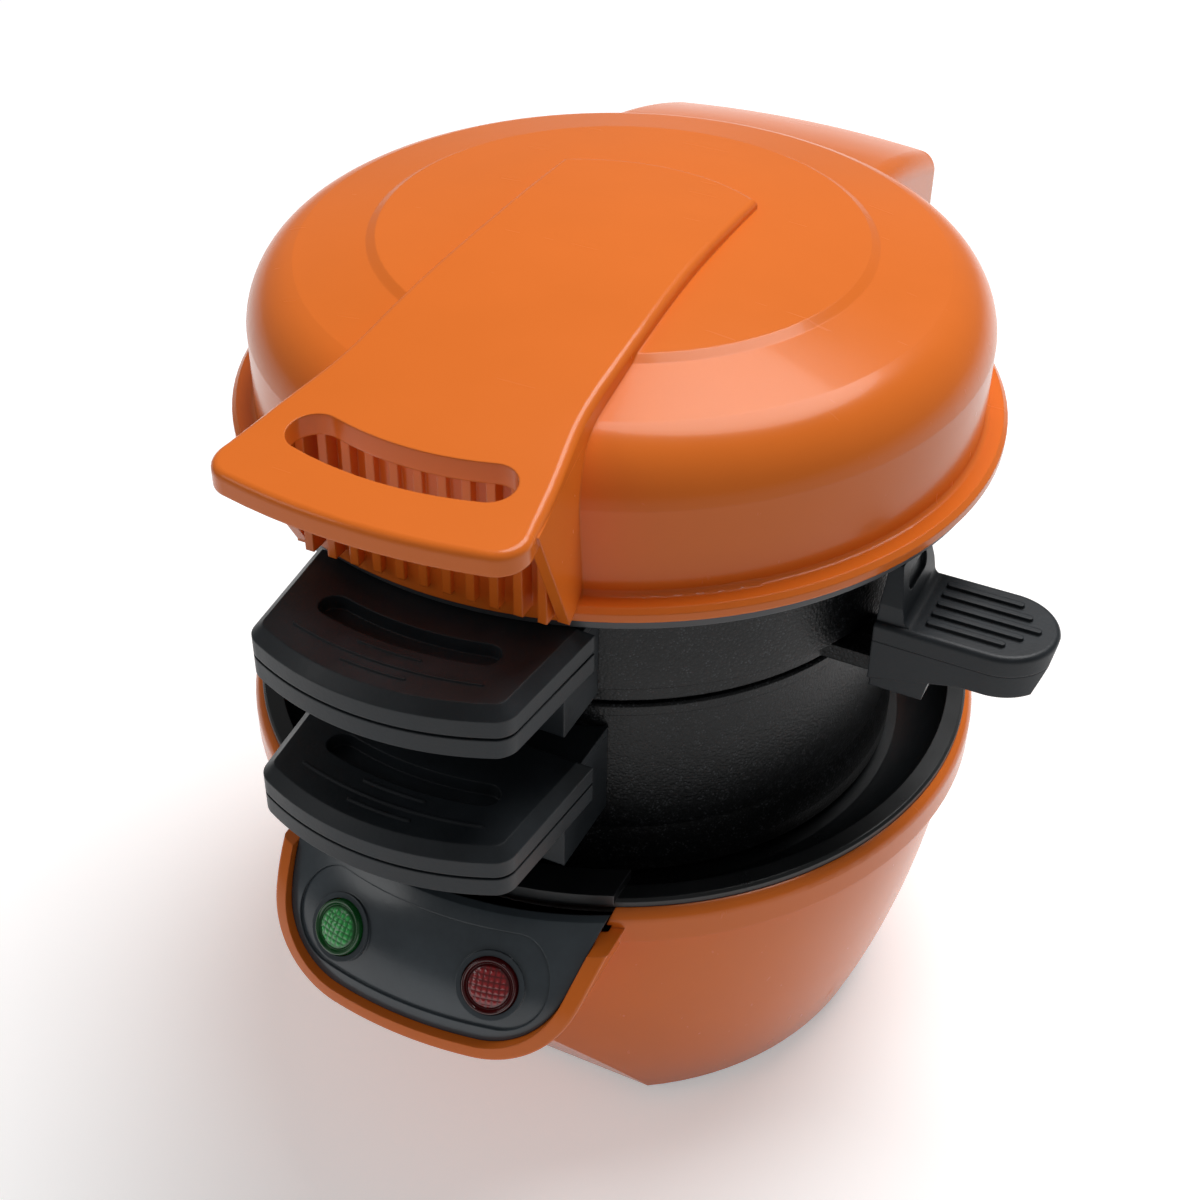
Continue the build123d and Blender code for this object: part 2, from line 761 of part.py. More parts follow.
def countersunk_screws(angles, ring, height):
    """A ring of upright countersunk screws, their heads flush with a height."""
    with BuildPart() as screws:
        for angle in angles:
            with Locations(Pos(0, 0, height) * Rot(0, 0, angle) * Pos(ring, 0)):
                Cone(screw_head_radius - screw_head_gap, screw_radius, screw_head_height,
                     align=(Align.CENTER, Align.CENTER, Align.MIN))
                Cylinder(screw_radius - screw_thread_gap, screw_length,
                         align=(Align.CENTER, Align.CENTER, Align.MIN))
    return screws


cover_screws = countersunk_screws(screw_angles, screw_post_ring, shell_bottom)
with BuildPart() as cord_bush:
    with BuildSketch(bush_plane.offset(-bush_inner_length)):
        Circle(bush_radius)
    extrude(amount=bush_inner_length + bush_outer_length)
    with BuildSketch(bush_plane):
        Circle(bush_flange_radius)
    extrude(amount=bush_flange_thickness)
    with BuildSketch(bush_plane):
        Circle(bush_bore_radius)
    extrude(amount=bush_inner_length + bush_outer_length, both=True, mode=Mode.SUBTRACT)

# ======================= Rings =======================

with BuildPart() as bottom_ring:
    with BuildSketch(Plane.XZ):
        outer = bottom_ring_radius
        foot = outer + bottom_ring_flare
        lip_z = bottom_ring_top - bottom_ring_lip_height
        lip_radius = ring_bore_radius + bottom_ring_lip_width
        edge = bottom_ring_edge
        with BuildLine():
            Polyline((ring_bore_radius, bottom_ring_z), (foot, bottom_ring_z),
                     (foot, bottom_ring_z + bottom_ring_flare_height),
                     (outer, bottom_ring_z + 3 * bottom_ring_flare_height), (outer, lip_z),
                     (lip_radius, lip_z + edge), (lip_radius, bottom_ring_top - edge),
                     (lip_radius - edge, bottom_ring_top), (ring_bore_radius, bottom_ring_top), close=True)
        make_face()
    revolve(axis=Axis.Z)
    root_y = ring_bore_radius + bottom_ring_wall / 3
    arm_low = bottom_ring_top - bottom_arm_depth
    arm_high = bottom_ring_top - bottom_arm_drop
    arm_points = [(root_y, arm_low), (root_y + knuckle_radius, arm_low),
                  (hinge_y + knuckle_neck, hinge_z - knuckle_neck),
                  (hinge_y - knuckle_neck, hinge_z + knuckle_neck),
                  (root_y + knuckle_radius, arm_high), (root_y, arm_high)]
    add(leaf(hinge_outline(arm_points), bottom_arm_x, knuckle_width))
    with Locations(hinge_place):
        Cylinder(pin_radius + running_gap, 2 * cheek_x, mode=Mode.SUBTRACT)
    with Locations((0, -root_y, bottom_ring_top - bottom_handle_drop - handle_split)):
        Box(2 * tang_half_width, tang_length, tang_thickness, align=(Align.CENTER, Align.MAX, Align.CENTER))

pivot_x = pivot_reach * sin(radians(pivot_angle))
pivot_y = pivot_reach * cos(radians(pivot_angle))
pivot_turn = Rot(0, 0, 90 - pivot_angle)
with BuildPart() as top_ring:
    with BuildSketch(Plane.XZ):
        shoulder = top_ring_radius - top_ring_taper
        with BuildLine():
            Polyline((top_ring_bore_radius, top_ring_z), (top_ring_radius, top_ring_z),
                     (shoulder, top_ring_top - top_ring_edge), (shoulder - top_ring_edge, top_ring_top),
                     (top_ring_bore_radius, top_ring_top), close=True)
        make_face()
    revolve(axis=Axis.Z)
    root_y = top_ring_bore_radius + top_ring_wall / 9
    with BuildSketch(Plane.XY.offset(top_ring_z)):
        with Locations((pivot_x, pivot_y)):
            Circle(pivot_boss_radius)
        with Locations(pivot_turn * Pos(root_y, 0)):
            Rectangle(pivot_reach - root_y, 2 * pivot_boss_radius, align=(Align.MIN, Align.CENTER))
    extrude(amount=pivot_lug_height)
    arm_points = [(root_y, top_ring_z + top_arm_drop), (hinge_y, hinge_z - knuckle_radius),
                  (hinge_y, hinge_z + knuckle_radius), (root_y, top_ring_top - 2 * top_arm_drop)]
    add(leaf(hinge_outline(arm_points), top_arm_x, knuckle_width))
    with Locations(hinge_place):
        Cylinder(pin_radius + running_gap, 2 * cheek_x, mode=Mode.SUBTRACT)
    with Locations((pivot_x, pivot_y, top_ring_z)):
        Cylinder(pivot_pin_radius + running_gap, 4 * pivot_lug_height, mode=Mode.SUBTRACT)
    with Locations((0, -root_y, top_ring_top + top_handle_lift - handle_split)):
        Box(2 * tang_half_width, tang_length, tang_thickness, align=(Align.CENTER, Align.MAX, Align.CENTER))

pin_half_length = cheek_x + post_width - cheek_end_wall
with BuildPart() as hinge_pin:
    with Locations(hinge_place):
        Cylinder(pin_radius, 2 * pin_half_length)

# ======================= Handles of the two rings =======================


def bowed_slot(half_length, bow, y, width):
    """A long round-ended slot in plan, bowed like the front edges."""
    middle = ThreePointArc((-half_length, y + bow), (0, y), (half_length, y + bow))
    with BuildSketch() as slot:
        SlotArc(middle, width)
    return slot.sketch


def handle_plan(front):
    """Plan of a ring's handle, bowed forwards, before the ring's round is cut from its back."""
    back = -top_ring_radius - handle_back_depth / 2
    with BuildSketch() as plan:
        with BuildLine():
            Polyline((handle_half_width, front), (handle_back_half_width, back),
                     (-handle_back_half_width, back), (-handle_half_width, front))
            ThreePointArc((-handle_half_width, front), (0, front - handle_bow), (handle_half_width, front))
        make_face()
        fillet(plan.vertices().sort_by(Axis.Y)[:2], handle_corner_radius)
    return plan.sketch


def ring_handle(top, root_low, ring_radius, shift):
    """Front handle of a ring as two halves: the upper one with the grip slot, the lower one with the root."""
    split = top - handle_split
    front = handle_corner_y + shift
    front_middle = front - handle_bow
    outline = handle_plan(front)
    low = Pos(0, 0, top - handle_thickness)
    with BuildPart() as block:
        extrude(low * outline, amount=handle_thickness)
        chamfer(block.faces().sort_by(Axis.Z)[-1].edges(), handle_top_bevel)
        chamfer(block.faces().sort_by(Axis.Z)[0].edges(), handle_low_bevel)
        with BuildSketch(Plane.XY.offset(split - handle_parting_groove / 2)):
            add(outline)
            offset(outline, amount=-handle_parting_groove, kind=Kind.INTERSECTION, mode=Mode.SUBTRACT)
        extrude(amount=handle_parting_groove, mode=Mode.SUBTRACT)
        with BuildSketch(Plane.XY.offset(root_low)):
            Rectangle(2 * handle_root_half_width, top_ring_radius + handle_root_depth,
                      align=(Align.CENTER, Align.MAX))
        extrude(amount=top - handle_root_drop - root_low)
        with Locations((0, 0, top)):
            Cylinder(ring_radius + handle_gap, beyond, mode=Mode.SUBTRACT)
        slot_y = front + handle_slot_setback
        slot = bowed_slot(handle_slot_half_length, handle_slot_bow, slot_y, handle_slot_width)
        extrude(Pos(0, 0, top) * slot, amount=-handle_slot_depth, mode=Mode.SUBTRACT)
        for half_length, setback in zip(handle_mark_half_lengths, handle_mark_setbacks):
            bow = half_length ** 2 / handle_mark_bow_radius / 2
            mark = bowed_slot(half_length, bow, front_middle + setback, handle_mark_width)
            extrude(Pos(0, 0, top - handle_mark_rise) * mark, amount=2 * handle_mark_rise)
        with Locations((0, 0, split)):
            Box(2 * (tang_half_width + tang_gap), 2 * (ring_radius + tang_length),
                tang_thickness + 2 * tang_gap, mode=Mode.SUBTRACT)
    halves = []
    for keep in (Align.MIN, Align.MAX):
        with BuildPart() as half:
            add(block.part)
            with Locations((0, 0, split)):
                Box(beyond, beyond, beyond, align=(Align.CENTER, Align.CENTER, keep), mode=Mode.INTERSECT)
            for x in (-handle_screw_x, handle_screw_x):
                with Locations((x, front + handle_screw_setback, split)):
                    Cylinder(screw_radius, 2 * (handle_split - handle_screw_cover), mode=Mode.SUBTRACT)
                    Cylinder(screw_radius, beyond, align=(Align.CENTER, Align.CENTER, Align.MAX),
                             mode=Mode.SUBTRACT)
                with Locations((x, front + handle_screw_setback, split - handle_screw_grip)):
                    Cylinder(screw_head_radius + screw_play, beyond, align=(Align.CENTER, Align.CENTER, Align.MAX),
                             mode=Mode.SUBTRACT)
        halves.append(half)
    with BuildPart() as screws:
        for x in (-handle_screw_x, handle_screw_x):
            with Locations((x, front + handle_screw_setback, split - handle_screw_grip)):
                Cylinder(screw_radius - screw_thread_gap,
                         handle_screw_grip + handle_split - handle_screw_cover - seat_gap,
                         align=(Align.CENTER, Align.CENTER, Align.MIN))
                Cylinder(screw_head_radius, screw_head_height, align=(Align.CENTER, Align.CENTER, Align.MAX))
    return halves[0], halves[1], screws


top_handle_top, top_handle_base, top_handle_screws = ring_handle(
    top_ring_top + top_handle_lift, top_ring_z - top_root_drop, top_ring_radius, 0)
bottom_handle_z = bottom_ring_top - bottom_handle_drop
bottom_handle_top, bottom_handle_base, bottom_handle_screws = ring_handle(
    bottom_handle_z, bottom_handle_z - bottom_root_height, bottom_ring_radius, bottom_handle_shift)

# ======================= Swivelling cooking plate =======================

plate_handle_start = top_ring_radius + plate_handle_clearance
plate_handle_end = plate_handle_start + plate_handle_length
handle_low = plate_z - plate_lift
handle_high = handle_low + plate_handle_height
handle_parting = handle_high - plate_handle_cap
plate_screw_x = plate_handle_start + plate_screw_setback
with BuildPart() as cooking_plate:
    with BuildSketch(Plane.XY.offset(plate_z)):
        Circle(plate_radius)
        with Locations((pivot_x, pivot_y)):
            Circle(pivot_boss_radius)
        with Locations(pivot_turn):
            Rectangle(pivot_reach, 2 * pivot_boss_radius, align=(Align.MIN, Align.CENTER))
        with Locations((0, plate_handle_y)):
            Rectangle(plate_handle_start + plate_tang_length, plate_tang_width, align=(Align.MIN, Align.CENTER))
        with Locations((pivot_x, pivot_y)):
            Circle(pivot_pin_radius + running_gap, mode=Mode.SUBTRACT)
        with Locations((plate_screw_x, plate_handle_y)):
            Circle(screw_radius + screw_play, mode=Mode.SUBTRACT)
    extrude(amount=plate_thickness)
with BuildPart() as plate_pivot:
    pivot_foot = plate_z - seat_gap
    pivot_end = top_ring_z + pivot_lug_height
    with Locations((pivot_x, pivot_y, pivot_foot)):
        Cylinder(pivot_pin_radius, pivot_end - pivot_foot, align=(Align.CENTER, Align.CENTER, Align.MIN))
        Cylinder(pivot_pin_radius + pivot_head_width, pivot_head_height,
                 align=(Align.CENTER, Align.CENTER, Align.MAX))
    with Locations((pivot_x, pivot_y, pivot_end)):
        Cylinder(pivot_pin_radius + pivot_rivet_width, pivot_rivet_width,
                 align=(Align.CENTER, Align.CENTER, Align.MIN))

with BuildPart() as plate_grip:
    with BuildSketch(Plane.XY.offset(handle_low)):
        half = plate_handle_width / 2
        bend = plate_handle_end - plate_handle_tip_length
        with BuildLine():
            Polyline((bend, plate_handle_y - half), (plate_handle_start, plate_handle_y - half),
                     (plate_handle_start, plate_handle_y + half), (bend, plate_handle_y + half))
            ThreePointArc((bend, plate_handle_y + half), (plate_handle_end, plate_handle_y),
                          (bend, plate_handle_y - half))
        make_face()
    extrude(amount=plate_handle_height)
    fillet(plate_grip.faces().sort_by(Axis.Z)[-1].edges().sort_by(Axis.X)[1:], plate_handle_edge)
    with BuildSketch(Plane.XZ.offset(-plate_handle_y)):
        tip_low = handle_low + plate_handle_tip_lift
        with BuildLine():
            Polyline((plate_handle_start, handle_high),
                     (plate_handle_start, handle_low + plate_handle_root_lift),
                     (plate_handle_start + 2 * plate_tang_length, tip_low),
                     (plate_handle_end - plate_handle_tip_scoop, tip_low),
                     (plate_handle_end - plate_handle_tip_scoop / 4, handle_parting),
                     (plate_handle_end, handle_high), close=True)
        make_face()
    extrude(amount=plate_handle_width, both=True, mode=Mode.INTERSECT)
    with BuildSketch(Plane.XZ.offset(-plate_handle_y)):
        with BuildLine():
            Polyline((plate_handle_start, tip_low), (plate_handle_start, handle_low),
                     (plate_handle_start + plate_handle_root_length, handle_low),
                     (plate_handle_start + plate_handle_root_length + plate_lift, tip_low), close=True)
        make_face()
    extrude(amount=plate_handle_root_width / 2, both=True)
    with BuildSketch(Plane.XZ.offset(-plate_handle_y)):
        foot_x = plate_handle_start + guard_foot
        tip_x = foot_x - guard_lean
        hollow = arc_middle * guard_fillet
        with BuildLine():
            ThreePointArc((foot_x + guard_fillet, handle_high), (foot_x + hollow, handle_high + hollow),
                          (foot_x, handle_high + guard_fillet))
            Polyline((foot_x, handle_high + guard_fillet), (tip_x, handle_high + guard_height),
                     (tip_x - guard_tip, handle_high + guard_height),
                     (plate_handle_start, handle_high - guard_fillet),
                     (foot_x + guard_fillet, handle_high - guard_fillet), (foot_x + guard_fillet, handle_high))
        make_face()
    extrude(amount=half - plate_handle_edge, both=True)
    with BuildSketch(Plane.YZ):
        top = handle_high + guard_height
        with BuildLine():
            Polyline((plate_handle_y - half, handle_low), (plate_handle_y - half, handle_high),
                     (plate_handle_y - half + guard_taper, top), (plate_handle_y + half - guard_taper, top),
                     (plate_handle_y + half, handle_high), (plate_handle_y + half, handle_low), close=True)
        make_face()
    extrude(amount=beyond, mode=Mode.INTERSECT)
    lean = atan2(guard_lean, guard_height - guard_fillet)
    dimple_spot = (foot_x - guard_lean / 2, plate_handle_y, handle_high + (guard_height + guard_fillet) / 2)
    with BuildSketch(Plane(origin=dimple_spot, x_dir=(0, 1, 0), z_dir=(cos(lean), 0, sin(lean)))):
        SlotOverall(half, guard_dimple_width)
    extrude(amount=guard_dimple_depth, both=True, mode=Mode.SUBTRACT)
    for index in range(grip_rib_count):
        offset_y = (index - (grip_rib_count - 1) / 2) * grip_rib_pitch
        length = grip_rib_reach - grip_rib_fall * abs(offset_y)
        with BuildSketch(Plane.XY.offset(handle_high - grip_rib_height)):
            with Locations((plate_handle_start + grip_rib_start + length / 2, plate_handle_y + offset_y)):
                SlotOverall(length, grip_rib_width)
        extrude(amount=2 * grip_rib_height)
    with Locations((plate_handle_start, plate_handle_y, plate_z)):
        Box(plate_tang_length + seat_gap, plate_tang_width + 2 * tang_gap, plate_thickness,
            align=(Align.MIN, Align.CENTER, Align.MIN), mode=Mode.SUBTRACT)
    with Locations((plate_screw_x, plate_handle_y, handle_low)):
        Cylinder(screw_radius, plate_handle_height - plate_screw_cover,
                 align=(Align.CENTER, Align.CENTER, Align.MIN), mode=Mode.SUBTRACT)
        Cylinder(screw_head_radius + screw_play, plate_lift - tang_gap,
                 align=(Align.CENTER, Align.CENTER, Align.MIN), mode=Mode.SUBTRACT)

peg_place = (plate_handle_start + plate_peg_setback, plate_handle_y, handle_parting)
with BuildPart() as plate_handle_top:
    add(plate_grip.part)
    with Locations((0, 0, handle_parting)):
        Box(beyond, beyond, beyond, align=(Align.CENTER, Align.CENTER, Align.MIN), mode=Mode.INTERSECT)
    with Locations(peg_place):
        Cylinder(plate_peg_radius + tang_gap, plate_peg_height + seat_gap,
                 align=(Align.CENTER, Align.CENTER, Align.MIN), mode=Mode.SUBTRACT)
with BuildPart() as plate_handle_base:
    add(plate_grip.part)
    with Locations((0, 0, handle_parting)):
        Box(beyond, beyond, beyond, align=(Align.CENTER, Align.CENTER, Align.MAX), mode=Mode.INTERSECT)
    with Locations(peg_place):
        Cylinder(plate_peg_radius, plate_peg_height, align=(Align.CENTER, Align.CENTER, Align.MIN))

with BuildPart() as plate_handle_screw:
    with Locations((plate_screw_x, plate_handle_y, handle_low + tang_gap)):
        Cylinder(screw_head_radius, plate_lift - 3 * tang_gap, align=(Align.CENTER, Align.CENTER, Align.MIN))
        Cylinder(screw_radius - screw_thread_gap, plate_handle_height - plate_screw_cover - seat_gap,
                 align=(Align.CENTER, Align.CENTER, Align.MIN))

# ======================= Lid =======================


def dome_section(inset):
    """Half section of the lid's dome, moved inwards by inset."""
    wall = dome_wall_radius - inset
    wall_top = flange_top + dome_wall_height
    shoulder = (dome_shoulder_radius - inset / 2, dome_top - dome_shoulder_drop - inset)
    disc_z = dome_top - disc_drop - inset
    disc_edge = disc_radius - disc_bevel / 2
    crown_radius = (disc_edge ** 2 + disc_drop ** 2) / (2 * disc_drop)
    crown_middle = dome_top - inset - crown_radius + sqrt(crown_radius ** 2 - disc_edge ** 2 / 4)
    bulge = (wall - dome_bulge[0] * dome_shoulder_inset, wall_top + dome_bulge[1] * (shoulder[1] - wall_top))
    with BuildSketch(Plane.XZ) as section:
        with BuildLine():
            Polyline((0, flange_z - inset), (wall, flange_z - inset), (wall, wall_top))
            ThreePointArc((wall, wall_top), bulge, shoulder)
            Polyline(shoulder, (disc_radius + disc_bevel / 2, disc_z - disc_step), (disc_edge, disc_z))
            ThreePointArc((disc_edge, disc_z), (disc_edge / 2, crown_middle), (0, dome_top - inset))
            Line((0, dome_top - inset), (0, flange_z - inset))
        make_face()
    return section.sketch


def tongue_plan():
    """Plan of the tongue, from its round rear end to the bowed front edge."""
    corner = (tongue_front_half_width, tongue_corner_y)
    side = [corner] + [(half, tongue_corner_y + setback) for setback, half in tongue_half_widths]
    end = side[-1]
    with BuildSketch(Plane.XY) as plan:
        with BuildLine():
            ThreePointArc((-corner[0], corner[1]), (0, tongue_front_y), corner)
            Spline(*side, tangents=((-tongue_flare, 1), (0, 1)))
            Line(end, (end[0], tongue_rear_y))
            ThreePointArc((end[0], tongue_rear_y), (0, tongue_rear_y + tongue_rear_bow),
                          (-end[0], tongue_rear_y))
            Line((-end[0], tongue_rear_y), (-end[0], end[1]))
            Spline(*[(-x, y) for x, y in reversed(side)], tangents=((0, -1), (-tongue_flare, -1)))
        make_face()
        fillet(plan.vertices().sort_by(Axis.Y)[:2], tongue_corner_radius)
    return plan.sketch


def tongue_profile(lift, far):
    """Side view of the region between the tongue's top line, moved by a lift, and a far height."""
    points = [(tongue_corner_y + setback, tongue_top - drop + lift) for setback, drop in tongue_top_line]
    with BuildSketch(Plane.YZ) as profile:
        with BuildLine():
            Spline(*points)
            Polyline(points[-1], (points[-1][0], far), (points[0][0], far), points[0])
        make_face()
    return profile.sketch


with BuildPart() as tongue_core:
    with BuildSketch(Plane.XY.offset(flange_z)):
        Circle(grille_radius)
    extrude(amount=beyond)
    extrude(tongue_profile(-grip_thickness, beyond), amount=beyond, both=True)

with BuildPart() as tongue:
    extrude(tongue_plan(), amount=beyond)
    extrude(tongue_profile(0, flange_z), amount=beyond, both=True, mode=Mode.INTERSECT)
    add(tongue_core.part, mode=Mode.INTERSECT)
    roof = tongue.faces().filter_by(lambda face: face.normal_at().Z > 0.5).sort_by(SortBy.AREA)[-1]
    fillet(roof.edges(), tongue_rounding)

slab_z = tongue_top - tongue_droop
with BuildPart() as grille:
    with BuildSketch(Plane.XY.offset(flange_top)):
        for index in range(grille_rib_count):
            with Locations(((index - (grille_rib_count - 1) / 2) * grille_rib_pitch, 0)):
                Rectangle(grille_rib_width, grille_front, align=(Align.CENTER, Align.MAX))
        Circle(dome_wall_radius, mode=Mode.SUBTRACT)
    extrude(amount=slab_z - flange_top)


def gusset_plan(height, spread):
    """Plan of the right gusset at a height: a slanting strip along the tongue's flank, spread outwards."""
    (near, near_half), (far, far_half) = tongue_half_widths[:2]
    front_half = near_half + (near_half - far_half) / (far - near) * near
    front = (front_half + spread, tongue_corner_y)
    rear = (far_half + spread, tongue_corner_y + far)
    with BuildSketch(Plane.XY.offset(height)) as plan:
        with BuildLine():
            Polyline(front, rear, (rear[0] - gusset_width, rear[1]), (front[0] - gusset_width, front[1]),
                     close=True)
        make_face()
    return plan.sketch


with BuildPart() as gussets:
    add(gusset_plan(flange_z, gusset_draft))
    add(gusset_plan(slab_z, 0))
    loft()
    with BuildSketch(Plane.YZ):
        with BuildLine():
            Polyline((-gusset_foot, flange_top - gusset_lap), (-gusset_foot, flange_top),
                     (-gusset_foot - gusset_reach, slab_z), (0, slab_z), (0, flange_top - gusset_lap),
                     close=True)
        make_face()
    extrude(amount=beyond, mode=Mode.INTERSECT)
    mirror(about=Plane.YZ)


def hinge_box_plan(inset):
    """Plan of the housing over the hinge, from inside the dome to its bowed rear wall."""
    rear = hinge_box_rear_y - inset
    corner = rear - hinge_box_bow
    half = hinge_box_half_width - inset
    with BuildSketch(Plane.XY.offset(flange_z)) as plan:
        with BuildLine():
            Polyline((-half, corner), (-half, disc_radius / 2), (half, disc_radius / 2), (half, corner))
            ThreePointArc((half, corner), (0, rear), (-half, corner))
        make_face()
        fillet(plan.vertices().sort_by(Axis.Y)[-2:], hinge_box_corner - inset)
    return plan.sketch


roof_turn = radians(hinge_box_roof_angle)
roof_middle_y = hinge_box_rear_y - hinge_box_corner - hinge_box_roof_radius * sin(roof_turn)
roof_middle_z = hinge_box_top - hinge_box_roof_radius * cos(roof_turn)


def hinge_housing(inset):
    """The housing over the hinge, its walls and its arched, falling roof moved inwards by inset."""
    half = hinge_box_half_width + hinge_box_corner
    top = hinge_box_roof_radius - inset
    side = top - hinge_box_crown * (half / hinge_box_half_width) ** 2
    with BuildPart() as housing:
        with BuildSketch(Plane((0, roof_middle_y, roof_middle_z), x_dir=(1, 0, 0), z_dir=(0, -1, 0))):
            with BuildLine():
                Polyline((-half, side), (-half, top - rim_radius), (half, top - rim_radius), (half, side))
                ThreePointArc((half, side), (0, top), (-half, side))
            make_face()
        revolve(axis=Axis((0, roof_middle_y, roof_middle_z), (-1, 0, 0)), revolution_arc=hinge_box_roof_turn)
        extrude(hinge_box_plan(inset), amount=beyond, mode=Mode.INTERSECT)
        roof = housing.faces().filter_by(lambda face: face.normal_at().Z > 0.5).sort_by(SortBy.AREA)[-1]
        fillet(roof.edges().sort_by(Axis.Y)[1:], hinge_box_corner - inset)
    return housing


hinge_box = hinge_housing(0)
hinge_box_hollow = hinge_housing(lid_wall)

with BuildPart() as cheek_room:
    add(hinge_box.part)
    with Locations((0, hinge_y, flange_z + seat_gap)):
        Box(beyond, beyond, beyond, align=(Align.CENTER, Align.CENTER, Align.MAX))

with BuildPart() as lid_cheeks:
    cheek_points = [(hinge_y - knuckle_radius, hinge_z), (hinge_y - knuckle_radius - cheek_inset, dome_top),
                    (hinge_box_rear_y, dome_top), (hinge_box_rear_y - cheek_inset, flange_z),
                    (hinge_y + knuckle_radius, hinge_z)]
    add(leaf(hinge_outline(cheek_points), cheek_x, post_width))
    add(cheek_room.part, mode=Mode.INTERSECT)

with BuildPart() as lid_bosses:
    with BuildSketch(Plane.XY.offset(flange_z)):
        for angle in liner_screw_angles:
            with Locations(Rot(0, 0, angle) * Pos(liner_screw_ring, 0)):
                Circle(screw_post_radius)
    extrude(amount=beyond)
    revolve(dome_section(lid_wall / 2), axis=Axis.Z, mode=Mode.INTERSECT)

with BuildPart() as lid_shell:
    revolve(dome_section(0), axis=Axis.Z)
    with BuildSketch(Plane.XZ):
        inner = dome_wall_radius - lid_wall
        curb = flange_top + flange_curb
        with BuildLine():
            Polyline((inner, flange_z), (flange_radius, flange_z), (flange_radius, flange_top - flange_edge),
                     (flange_radius - flange_edge, flange_top), (flange_foot_radius, flange_top))
            ThreePointArc((flange_foot_radius, flange_top),
                          (dome_wall_radius + arc_middle * flange_curb, flange_top + arc_middle * flange_curb),
                          (dome_wall_radius, curb))
            Polyline((dome_wall_radius, curb), (inner, curb), (inner, flange_z))
        make_face()
    revolve(axis=Axis.Z)
    add(hinge_box.part)
    add(tongue.part)
    add(grille.part)
    add(gussets.part)
    revolve(dome_section(lid_wall), axis=Axis.Z, mode=Mode.SUBTRACT)
    add(hinge_box_hollow.part, mode=Mode.SUBTRACT)
    add(lid_cheeks.part)
    add(lid_bosses.part)
    grip_slot = bowed_slot(slot_half_length, slot_bow, tongue_corner_y + slot_setback, slot_width)
    extrude(Pos(0, 0, slab_z - grip_thickness) * grip_slot, amount=beyond, mode=Mode.SUBTRACT)
    with Locations(hinge_place):
        Cylinder(pin_radius + running_gap, 2 * (pin_half_length + running_gap), mode=Mode.SUBTRACT)
    for angle in liner_screw_angles:
        with Locations(Pos(0, 0, flange_z) * Rot(0, 0, angle) * Pos(liner_screw_ring, 0)):
            Cylinder(screw_radius, 2 * screw_length, mode=Mode.SUBTRACT)

with BuildPart() as lid_liner:
    with Locations((0, 0, liner_z)):
        Cylinder(liner_radius, liner_thickness, align=(Align.CENTER, Align.CENTER, Align.MIN))
        Cylinder(liner_hole_radius, 4 * liner_thickness, mode=Mode.SUBTRACT)
    for angle in liner_screw_angles:
        with Locations(Pos(0, 0, liner_z) * Rot(0, 0, angle) * Pos(liner_screw_ring, 0) * Rot(180, 0, 0)):
            CounterSinkHole(screw_radius + screw_play, screw_head_radius, depth=2 * liner_thickness)

lid_screws = countersunk_screws(liner_screw_angles, liner_screw_ring, liner_z)

upper_plate_top = upper_plate_z + upper_plate_thickness
with BuildPart() as upper_hot_plate:
    add(round_plate(upper_plate_z, upper_plate_thickness).part)
    for angle in liner_screw_angles:
        with Locations(Pos(0, 0, upper_plate_top) * Rot(0, 0, angle) * Pos(plate_boss_ring, 0)):
            Cylinder(plate_boss_radius, 2 * (liner_z - upper_plate_top))

upper_heater = heater(upper_plate_top + heater_tube_radius)

# ======================= Export =======================

pieces = {
    "base_shell": base_shell,
    "bottom_cover": bottom_cover,
    "rubber_feet": rubber_feet,
    "cover_screws": cover_screws,
    "control_panel": control_panel,
    "green_lens": green_lens,
    "red_lens": red_lens,
    "neon_bulbs": neon_bulbs,
    "drip_dish": drip_dish,
    "lower_hot_plate": lower_hot_plate,
    "lower_heater": lower_heater,
    "thermostat": thermostat,
    "thermostat_pin": thermostat_pin,
    "thermal_fuse": thermal_fuse,
    "terminal_block": terminal_block,
    "cord_bush": cord_bush,
    "hinge_pin": hinge_pin,
    "bottom_ring": bottom_ring,
    "bottom_handle_top": bottom_handle_top,
    "bottom_handle_base": bottom_handle_base,
    "bottom_handle_screws": bottom_handle_screws,
    "top_ring": top_ring,
    "top_handle_top": top_handle_top,
    "top_handle_base": top_handle_base,
    "top_handle_screws": top_handle_screws,
    "plate_pivot": plate_pivot,
    "cooking_plate": cooking_plate,
    "plate_handle_top": plate_handle_top,
    "plate_handle_base": plate_handle_base,
    "plate_handle_screw": plate_handle_screw,
    "lid_shell": lid_shell,
    "lid_liner": lid_liner,
    "upper_hot_plate": upper_hot_plate,
    "upper_heater": upper_heater,
    "lid_screws": lid_screws,
}

whole_box = Compound([piece.part for piece in pieces.values()]).bounding_box()
to_middle = Pos(-whole_box.center().X, -whole_box.center().Y, -whole_box.min.Z)
os.makedirs("parts", exist_ok=True)
for name, piece in pieces.items():
    moved = to_middle * piece.part
    moved.label = name
    export_step(moved, f"parts/{name}.step")
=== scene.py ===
import math

import bpy
import numpy as np
from mathutils import Euler, Matrix, Vector


